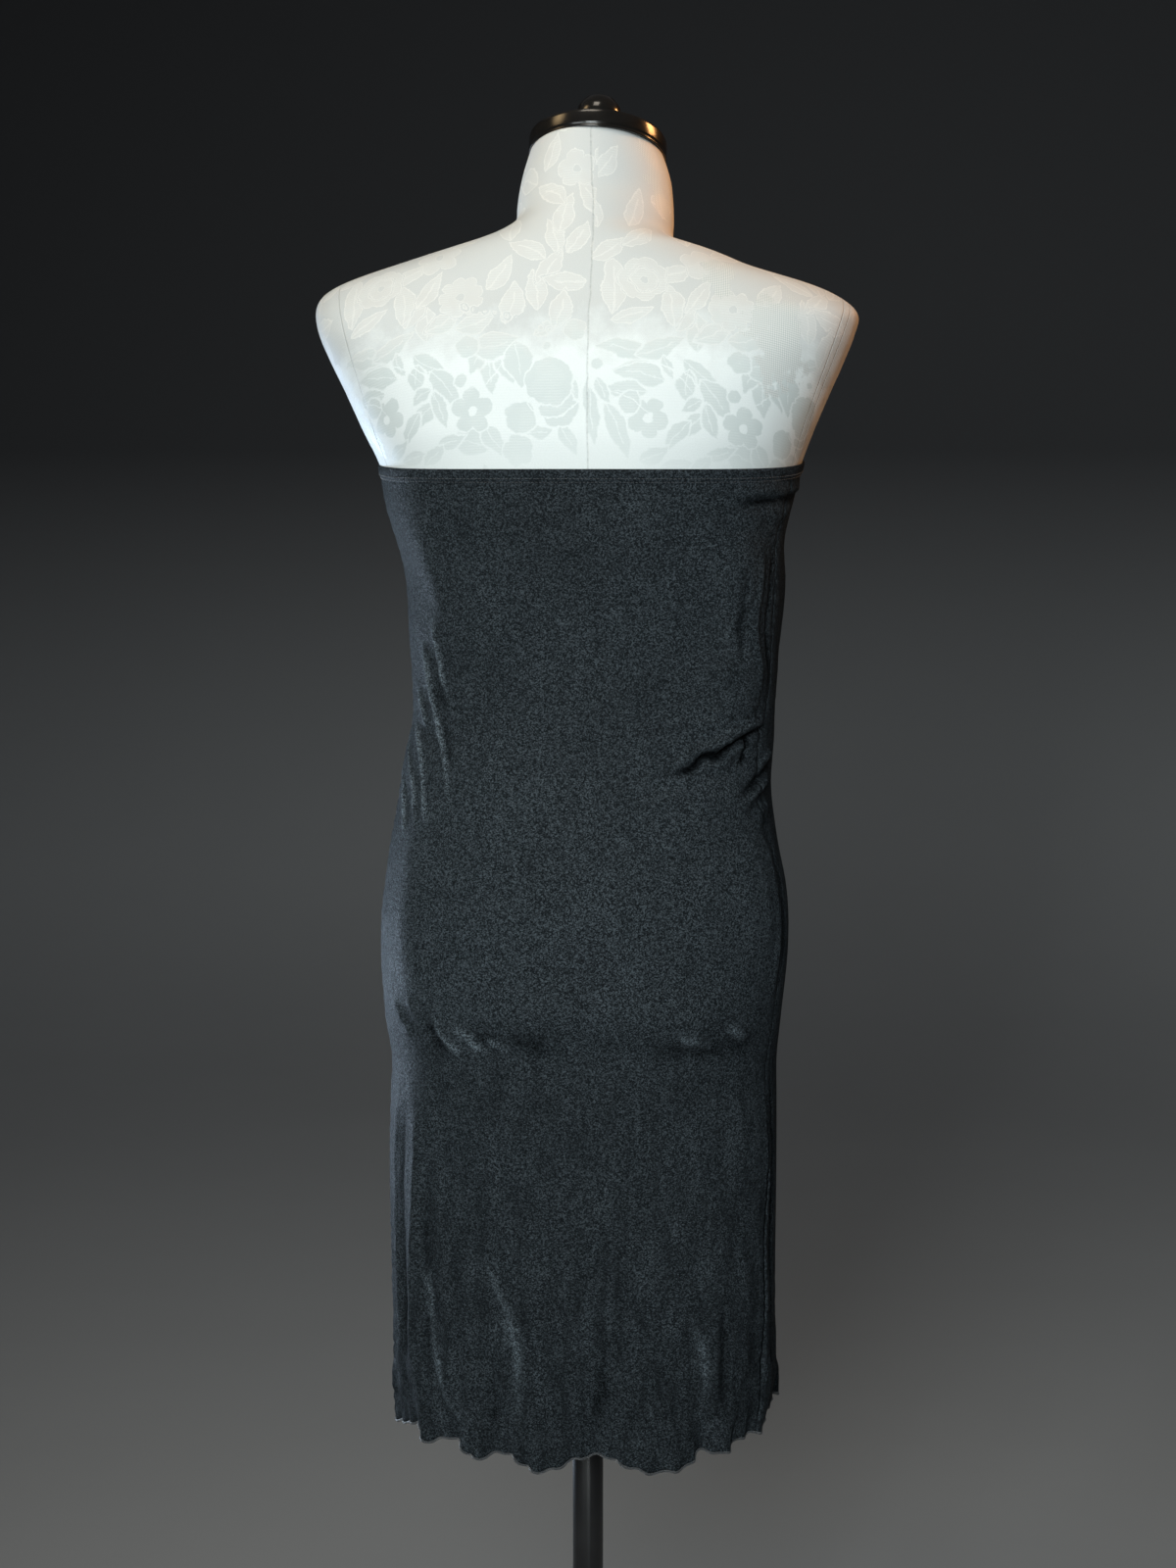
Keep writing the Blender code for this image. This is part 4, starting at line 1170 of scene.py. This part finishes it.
def draw_leaf(g, given, along, aside, before):
    """A leaf: fullest near its foot, bent, with a vein cut along its middle."""
    x = g.over(along, given["Length"])
    y = g.over(aside, given["Length"])
    hump = g.minus(1.0, g.times(x, x))
    axis = g.minus(y, g.times(given["Bend"], hump))
    fuller = g.larger(g.times_plus(x, -0.30, 1.0), 0.1)
    half = g.times(g.times(hump, fuller), given["Width"])
    inside = g.times(g.minus(half, g.absolute(axis)), g.times(given["Length"], 0.8))
    drawn = laid_over(g, before, inside)
    off_axis = g.times(g.absolute(axis), given["Length"])
    vein = g.over(g.minus(off_axis, 0.15), 0.5, clamp=True)
    on_leaf = g.over(inside, 0.5, clamp=True)
    cut = g.times(g.times(on_leaf, g.math("LESS_THAN", x, 0.45)), g.minus(1.0, vein))
    return g.times(drawn, g.minus(1.0, g.times(cut, 0.75)))


def draw_arc(g, given, along, aside, before):
    """A light line along part of a circle, thinner towards its ends."""
    far = g.vector("LENGTH", g.combine(along, aside), output=1)
    off = g.absolute(g.minus(far, given["Radius"]))
    turn = g.absolute(g.math("ARCTAN2", aside, along))
    taper = g.minus(1.0, g.over(turn, given["Reach"]), clamp=True)
    width = g.times(given["Width"], g.power(taper, 0.4))
    line = g.over(g.minus(width, off), 0.4, clamp=True)
    return g.times(before, g.minus(1.0, line))


# A chain of little rings between two blooms: where it starts, how it falls and sags over its length,
# and its rings. In mm on the flat cloth.
CHAIN_START, CHAIN_FALL, CHAIN_LENGTH = (99.0, 122.0), -0.30, 72.0
CHAIN_SAG, SAG_ENDS = 0.0010, 70.0
RING_PITCH, RING_RADIUS, RING_LINE = 8.4, 2.9, 1.5


def ring_chain(g, place):
    """A chain of little light rings that sags between two blooms."""
    a, b, before = g.separate(place)
    along = g.minus(CHAIN_START[0], a)
    path = g.times_plus(along, CHAIN_FALL, CHAIN_START[1])
    sag = g.times(g.times(along, g.minus(SAG_ENDS, along)), CHAIN_SAG)
    aside = g.minus(b, g.plus(path, sag))
    counted = g.math("MODULO", g.plus(along, 100 * RING_PITCH), RING_PITCH)
    far = g.vector("LENGTH", g.combine(g.minus(counted, RING_PITCH / 2), aside), output=1)
    line = g.over(g.minus(RING_LINE, g.absolute(g.minus(far, RING_RADIUS))), 0.9, clamp=True)
    within = g.times(g.math("GREATER_THAN", along, 0.0), g.math("LESS_THAN", along, CHAIN_LENGTH))
    return g.times(before, g.minus(1.0, g.times(line, within)))


def woven_pattern(g, place):
    """1 on the motifs and 0 on the ground."""
    flower = motif_group("woven_round", ("Size", "Petals", "Depth", "Eye"), draw_round)
    leaf = motif_group("woven_leaf", ("Length", "Width", "Bend"), draw_leaf)
    line = motif_group("woven_line", ("Radius", "Reach", "Width"), draw_arc)

    def drawn(group, motif, turn, **sizes):
        inputs = {"Place": place, "A": motif.a, "B": motif.b, "Turn": radians(turn), **sizes}
        return g.node("ShaderNodeGroup", inputs, node_tree=group).outputs[0]

    for m in LEAVES:
        place = drawn(leaf, m, 180 - m.turn, Length=m.length, Width=m.width, Bend=m.bend)
    for m in ROUNDS:
        place = drawn(flower, m, m.turn, Size=m.size, Petals=m.petals / 2, Depth=m.depth, Eye=m.eye)
    for m in ARCS:
        place = drawn(line, m, 180 - m.middle, Radius=m.radius, Reach=radians(m.reach), Width=m.width)
    return ring_chain(g, place)


# The net's threads run aslant both ways, and come again after this much across or up, in mm.
NET_PITCH = 3.3


def net_patches(g, a, b):
    """Where the open net shows, and its crossed threads."""
    within = 0.0
    ragged = g.noise(g.combine(a, b), 0.07, 3.0, 0.6)
    for patch in PATCHES:
        x = g.over(g.minus(a, patch.a), patch.across)
        y = g.over(g.minus(b, patch.b), patch.up)
        round_it = g.times_plus(x, x, g.times(y, y))
        within = g.larger(within, g.ramp(g.times_plus(ragged, 5.0, round_it), 3.5, 3.1))
    one = g.sine(g.times(g.plus(a, b), 2 * pi / NET_PITCH))
    other = g.sine(g.times(g.minus(a, b), 2 * pi / NET_PITCH))
    return within, g.ramp(g.times(one, other), -0.25, 0.35)


# The arm plates' seams: about how far across each lies at the dress's top edge, and which way it leans
# and bows.
ARM_SEAMS = [(-170.0, -1.0), (-178.0, -1.0), (172.0, 1.0)]


def seam_lines(g, a, b):
    """Fine dark lines at the back seam and the arm plates' seams of the cover."""
    lean = g.ramp(b, 180.0, 260.0)
    sway = g.times_plus(g.noise(g.combine(b, 3.0), 0.05, 2.0), 3.0, -1.5)
    sway = g.times_plus(lean, 6.0, sway)
    middle = g.absolute(g.minus(a, sway))
    broken = g.ramp(g.noise(g.combine(b, 0.0), 0.35, 2.0), 0.35, 0.65)
    back = g.times(g.ramp(middle, 0.9, 0.2), g.times_plus(broken, 0.7, 0.3))
    raised = g.minus(b, 60.0)
    bow = g.times(g.times(raised, raised), -0.0016)
    plates = 0.0
    for start, side in ARM_SEAMS:
        line = g.times_plus(bow, -side * 0.4, start)
        line = g.times_plus(b, side * 0.16, line)
        plates = g.larger(plates, g.ramp(g.absolute(g.minus(a, line)), 0.8, 0.2))
    return back, plates


# On the flat cloth, in mm over the dress's top edge: where the painted light turns the motifs from darker
# than the ground to lighter, how far that line wanders, and where the pattern comes up and fades again.
TURNS_LIGHT, WANDERS = (84.0, 122.0), 64.0
COMES_UP, FADES = (2.0, 30.0), (330.0, 150.0)
WEFT_PITCH = 2.05
# The cover's colours, low on the back and high up: the motifs, the ground, and where both fade away. The
# change from low to high is painted light: high up the ground and plain cloth are painted in shade and
# the motifs lighter.
MOTIF = (0.705, 0.770, 0.765, 1), (0.735, 0.752, 0.742, 1)
GROUND = (0.930, 0.985, 0.985, 1), (0.690, 0.718, 0.718, 1)
PLAIN = (0.815, 0.870, 0.865, 1), (0.720, 0.735, 0.725, 1)


def frayed_place(g, place):
    """The place, moved a little this way and that, so that no motif's edge is drawn too clean."""
    drift = g.noise(place, 0.06, 3.0, 0.6, output=1)
    drift = g.vector("SUBTRACT", drift, (0.5, 0.5, 0.5))
    frayed = g.noise(place, 0.55, 3.0, 0.7, output=1)
    frayed = g.vector("SUBTRACT", frayed, (0.5, 0.5, 0.5))
    moved = g.vector("MULTIPLY_ADD", drift, (8.0, 8.0, 0.0), place)
    return g.vector("MULTIPLY_ADD", frayed, (2.4, 2.4, 0.0), moved)


def cover_material():
    """White damask with its motifs, weave, patches of net and seams, and painted light that changes with
    height.
    """
    made, g, shader = material(
        "white_damask", Specular_IOR_Level=0.30, Sheen_Weight=0.05, Sheen_Roughness=0.4
    )
    u, v, _ = g.separate(g.flat("flow"))
    a = g.times(g.minus(u, PATTERN_START[0]), 1000.0)
    b = g.times(g.minus(v, PATTERN_START[1]), 1000.0)
    dropped = g.times_plus(g.math("LESS_THAN", a, 0.0), PATTERN_DROP, b)
    place = g.combine(a, dropped)
    pattern = woven_pattern(g, frayed_place(g, place))

    # The weave: close weft lines in the motifs, a fine broken twill in the ground.
    unsteady = g.noise(place, 0.35, 2.0)
    lines = g.sine(g.plus(g.times(b, 2 * pi / WEFT_PITCH), g.times(unsteady, 5.0)))
    lines = g.ramp(lines, -0.6, 0.9)
    shown = g.ramp(g.noise(place, 0.05, 2.0), 0.44, 0.54)
    twill = g.noise(g.combine(g.times(a, 0.9), g.times(b, 2.2)), 1.0, 3.0, 0.7)
    thread = g.noise(place, 2.4, 2.0, 0.6)

    # Painted light: low on the back the motifs are painted the darker, high up and on the neck the
    # lighter.
    wandering = g.times_plus(g.noise(place, 0.045, 2.0), WANDERS, -WANDERS / 2)
    height = g.ramp(g.plus(g.times_plus(unsteady, 14.0, b), wandering), *TURNS_LIGHT)
    faint = g.times(g.ramp(b, *COMES_UP), g.ramp(b, *FADES))
    motif, ground, plain = (g.mix(height, *colours) for colours in (MOTIF, GROUND, PLAIN))
    share = g.times_plus(faint, 0.65, 0.35)
    motif, ground = g.mix(share, plain, motif), g.mix(share, plain, ground)
    motif = g.mix(g.times(g.times(lines, shown), 0.34), motif, (0.84, 0.89, 0.88, 1))
    spotted = g.times(g.ramp(twill, 0.42, 0.62), 0.30)
    ground = g.mix(spotted, ground, g.mix(0.5, ground, (0.45, 0.50, 0.50, 1)))
    colour = g.mix(pattern, ground, motif)
    # A painted highlight along the motifs' edges, growing with height, as on raised edges catching the
    # light.
    edge = g.times(g.times(pattern, g.minus(1.0, pattern)), 4.0)
    colour = g.mix(g.times(g.times(edge, height), 0.75), colour, (0.885, 0.895, 0.875, 1))

    # Open net, seams and single threads over it all.
    net, threads = net_patches(g, a, b)
    colour = g.mix(net, colour, g.mix(threads, (0.60, 0.64, 0.63, 1), (0.82, 0.84, 0.82, 1)))
    back, plates = seam_lines(g, a, b)
    colour = g.mix(g.times(back, 0.42), colour, (0.30, 0.31, 0.30, 1))
    colour = g.mix(g.times(plates, 0.35), colour, (0.35, 0.36, 0.35, 1))
    colour = g.mix(g.ramp(thread, 0.30, 0.70), g.mix(0.21, colour, (0.3, 0.3, 0.3, 1)), colour)
    sunk = g.times(g.larger(back, plates), -1.2)
    raised = g.plus(sunk, g.times_plus(thread, 0.35, g.times(lines, 0.12)))
    rough = g.times_plus(pattern, -0.12, 0.62)
    connect(g, shader, Base_Color=colour, Roughness=rough, Normal=g.bump(raised, 0.3 * MM, 0.7))
    return made


def gloss_material():
    """Gloss black plastic, a little smeared and rippled."""
    made, g, shader = material(
        "gloss_black_plastic", Specular_IOR_Level=0.30, Coat_Weight=0.25, Coat_Roughness=0.06
    )
    place = g.place()
    smear = g.noise(place, 60.0, 4.0, 0.6)
    colour = g.mix(smear, (0.006, 0.0055, 0.005, 1), (0.012, 0.011, 0.010, 1))
    rough = g.times_plus(smear, 0.16, 0.12)
    ripple = g.bump(g.noise(place, 25.0, 2.0), 0.6 * MM, 0.35)
    connect(g, shader, Base_Color=colour, Roughness=rough, Normal=ripple)
    return made


def metal_material():
    """Satin black metal with a fine grain and light wear."""
    made, g, shader = material(
        "black_satin_metal", Metallic=0.0, Specular_IOR_Level=0.5, Coat_Weight=0.15, Coat_Roughness=0.3
    )
    place = g.place()
    grain = g.noise(place, 900.0, 3.0, 0.6)
    wear = g.ramp(g.noise(place, 9.0, 4.0, 0.6), 0.55, 0.75)
    colour = g.mix(wear, (0.011, 0.011, 0.012, 1), (0.020, 0.020, 0.021, 1))
    rough = g.times_plus(grain, 0.25, 0.30)
    connect(g, shader, Base_Color=colour, Roughness=rough, Normal=g.bump(grain, 0.06 * MM, 0.8))
    return made


def dress_in(piece, finish, slot, *nodes):
    """Gives a piece its material and hides the CAD nodes it replaces. Its slot is not used. All ride the
    one body.
    """
    piece.data.materials.clear()
    piece.data.materials.append(finish)
    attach(piece, "root")
    if nodes:
        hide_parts(*nodes)


gloss, metal = gloss_material(), metal_material()
roll_finish, thread = overlock_material(), thread_material()
dress_in(back_cloth, black_knit, "black_knit", "back_panel")
dress_in(front_cloth, black_knit, "black_knit", "front_panel")
for side in EDGES:
    dress_in(bands[side], band_knit, "black_knit", side + "_top_band")
    dress_in(rolls[side], roll_finish, "black_knit", side + "_hem_roll")
dress_in(stitches, thread, "black_knit")
dress_in(form, cover_material(), "white_jacquard", "torso")
for node, piece in hard.items():
    if node in ("neck_cap", "cap_knob"):
        dress_in(piece, gloss, "gloss_black", node)
    else:
        dress_in(piece, metal, "black_metal", node)

# Each panel is one piece of knit as long as the dress. Its width changes.
bands["back"]
rolls["back"]
bands["front"]
rolls["front"]


# ---------------------------------------------------------------- floor, light and camera


# The floor and the round wall it curves up into, as (distance from the axis, height).
BACKDROP = np.array([
    (0.0, 0.0), (1.0, 0.0), (3.2, 0.0), (3.9, 0.05), (4.5, 0.25), (4.9, 0.65), (5.1, 1.2), (5.2, 2.6),
    (5.2, 4.2),
])
# The floor lies this far under the base, so that the two don't meet in one plane.
FLOOR_DROP = 0.2 * MM
# The heights between which the wall darkens.
WALL_DARKENS = (0.02, 1.3)


def backdrop_material():
    """A pale floor, and a wall that darkens upwards."""
    made, g, shader = material("pale_backdrop", Roughness=0.85, Specular_IOR_Level=0.2)
    place = g.place()
    tone = g.noise(place, 3.0, 4.0, 0.6)
    pale = g.mix(tone, (0.56, 0.56, 0.565, 1), (0.60, 0.60, 0.605, 1))
    high = g.ramp(g.separate(place)[2], *WALL_DARKENS)
    connect(g, shader, Base_Color=g.mix(high, pale, (0.11, 0.11, 0.115, 1)))
    return made


def studio(columns=96, rows=60):
    """A floor that curves up into a round backdrop, just under the base."""
    knots = lengths_along(BACKDROP)
    line = np.maximum(curve_at(knots, BACKDROP, np.linspace(0, knots[-1], rows)), 0)
    turns = np.linspace(0, 2 * pi, columns, endpoint=False)
    grid = np.array([[(r * cos(t), r * sin(t), z - FLOOR_DROP) for t in turns] for r, z in line[1:]])
    floor = grid_object("studio_floor", grid)
    bm = bmesh.new()
    bm.from_mesh(floor.data)
    bm.verts.ensure_lookup_table()
    bm.faces.new([bm.verts[i] for i in range(columns)])
    bmesh.ops.recalc_face_normals(bm, faces=bm.faces)
    bm.to_mesh(floor.data)
    bm.free()
    floor.data.materials.append(backdrop_material())


def softbox(name, place, aim, size, power, colour, spread):
    """An area light at a place, turned to its aim. Its spread is in degrees."""
    light = bpy.data.lights.new(name, "AREA")
    light.shape = "RECTANGLE"
    light.size, light.size_y = size
    light.energy = power
    light.color = colour
    light.spread = radians(spread)
    lamp = bpy.data.objects.new(name, light)
    lamp.location = place
    lamp.rotation_euler = (Vector(aim) - Vector(place)).to_track_quat("-Z", "Y").to_euler()
    bpy.context.scene.collection.objects.link(lamp)


def light_up():
    """A cool rim light from the left, warm ones on neck and cap, a soft top light and two fills."""
    softbox("cool_rim", (2.02, -1.62, 0.32), (0.1, 0.0, 1.15), (0.7, 0.5), 3.6, (0.64, 0.80, 1.0), 40)
    softbox("warm_side", (-1.25, -0.60, 1.95), (-0.05, 0, 1.50), (0.35, 0.35), 0.5, (1.0, 0.45, 0.15), 30)
    softbox("cap_glow", (1.29, 0.38, 2.36), (0.0, 0.0, 1.50), (0.9, 0.6), 0.30, (1.0, 0.70, 0.36), 26)
    softbox("top_soft", (0.15, 0.66, 2.80), (0.0, 0.02, 1.10), (0.6, 0.6), 2.5, (1.0, 0.90, 0.76), 100)
    softbox("fill_left", (1.30, 2.85, 1.30), (0.0, 0.0, 1.10), (1.0, 1.0), 2.0, (0.93, 1.0, 1.0), 60)
    softbox("fill_right", (0.15, 3.12, 1.72), (0.0, 0.0, 1.10), (1.0, 1.0), 9.2, (0.93, 1.0, 1.0), 60)
    world = bpy.data.worlds.new("studio")
    world.use_nodes = True
    sky = world.node_tree.nodes["Background"]
    sky.inputs["Color"].default_value = (0.90, 0.94, 1.0, 1)
    sky.inputs["Strength"].default_value = 0.06
    bpy.context.scene.world = world


CAMERA_DISTANCE = 2.10
CAMERA_HEIGHT = 1.25
CAMERA_AZIMUTH = 187
CAMERA_PITCH = 6.76
CAMERA_LENS = 61.1
CAMERA_SENSOR = 36


def look():
    """The camera: straight behind the form and a little round, looking slightly down."""
    camera = bpy.data.cameras.new("camera")
    camera.lens = CAMERA_LENS
    camera.sensor_width = camera.sensor_height = CAMERA_SENSOR
    view = bpy.data.objects.new("camera", camera)
    turn = radians(CAMERA_AZIMUTH)
    view.location = (sin(turn) * CAMERA_DISTANCE, -cos(turn) * CAMERA_DISTANCE, CAMERA_HEIGHT)
    view.rotation_euler = (radians(90 - CAMERA_PITCH), 0, turn)
    bpy.context.scene.collection.objects.link(view)
    bpy.context.scene.camera = view


studio()
light_up()
look()
bpy.context.scene.view_settings.view_transform = "Standard"

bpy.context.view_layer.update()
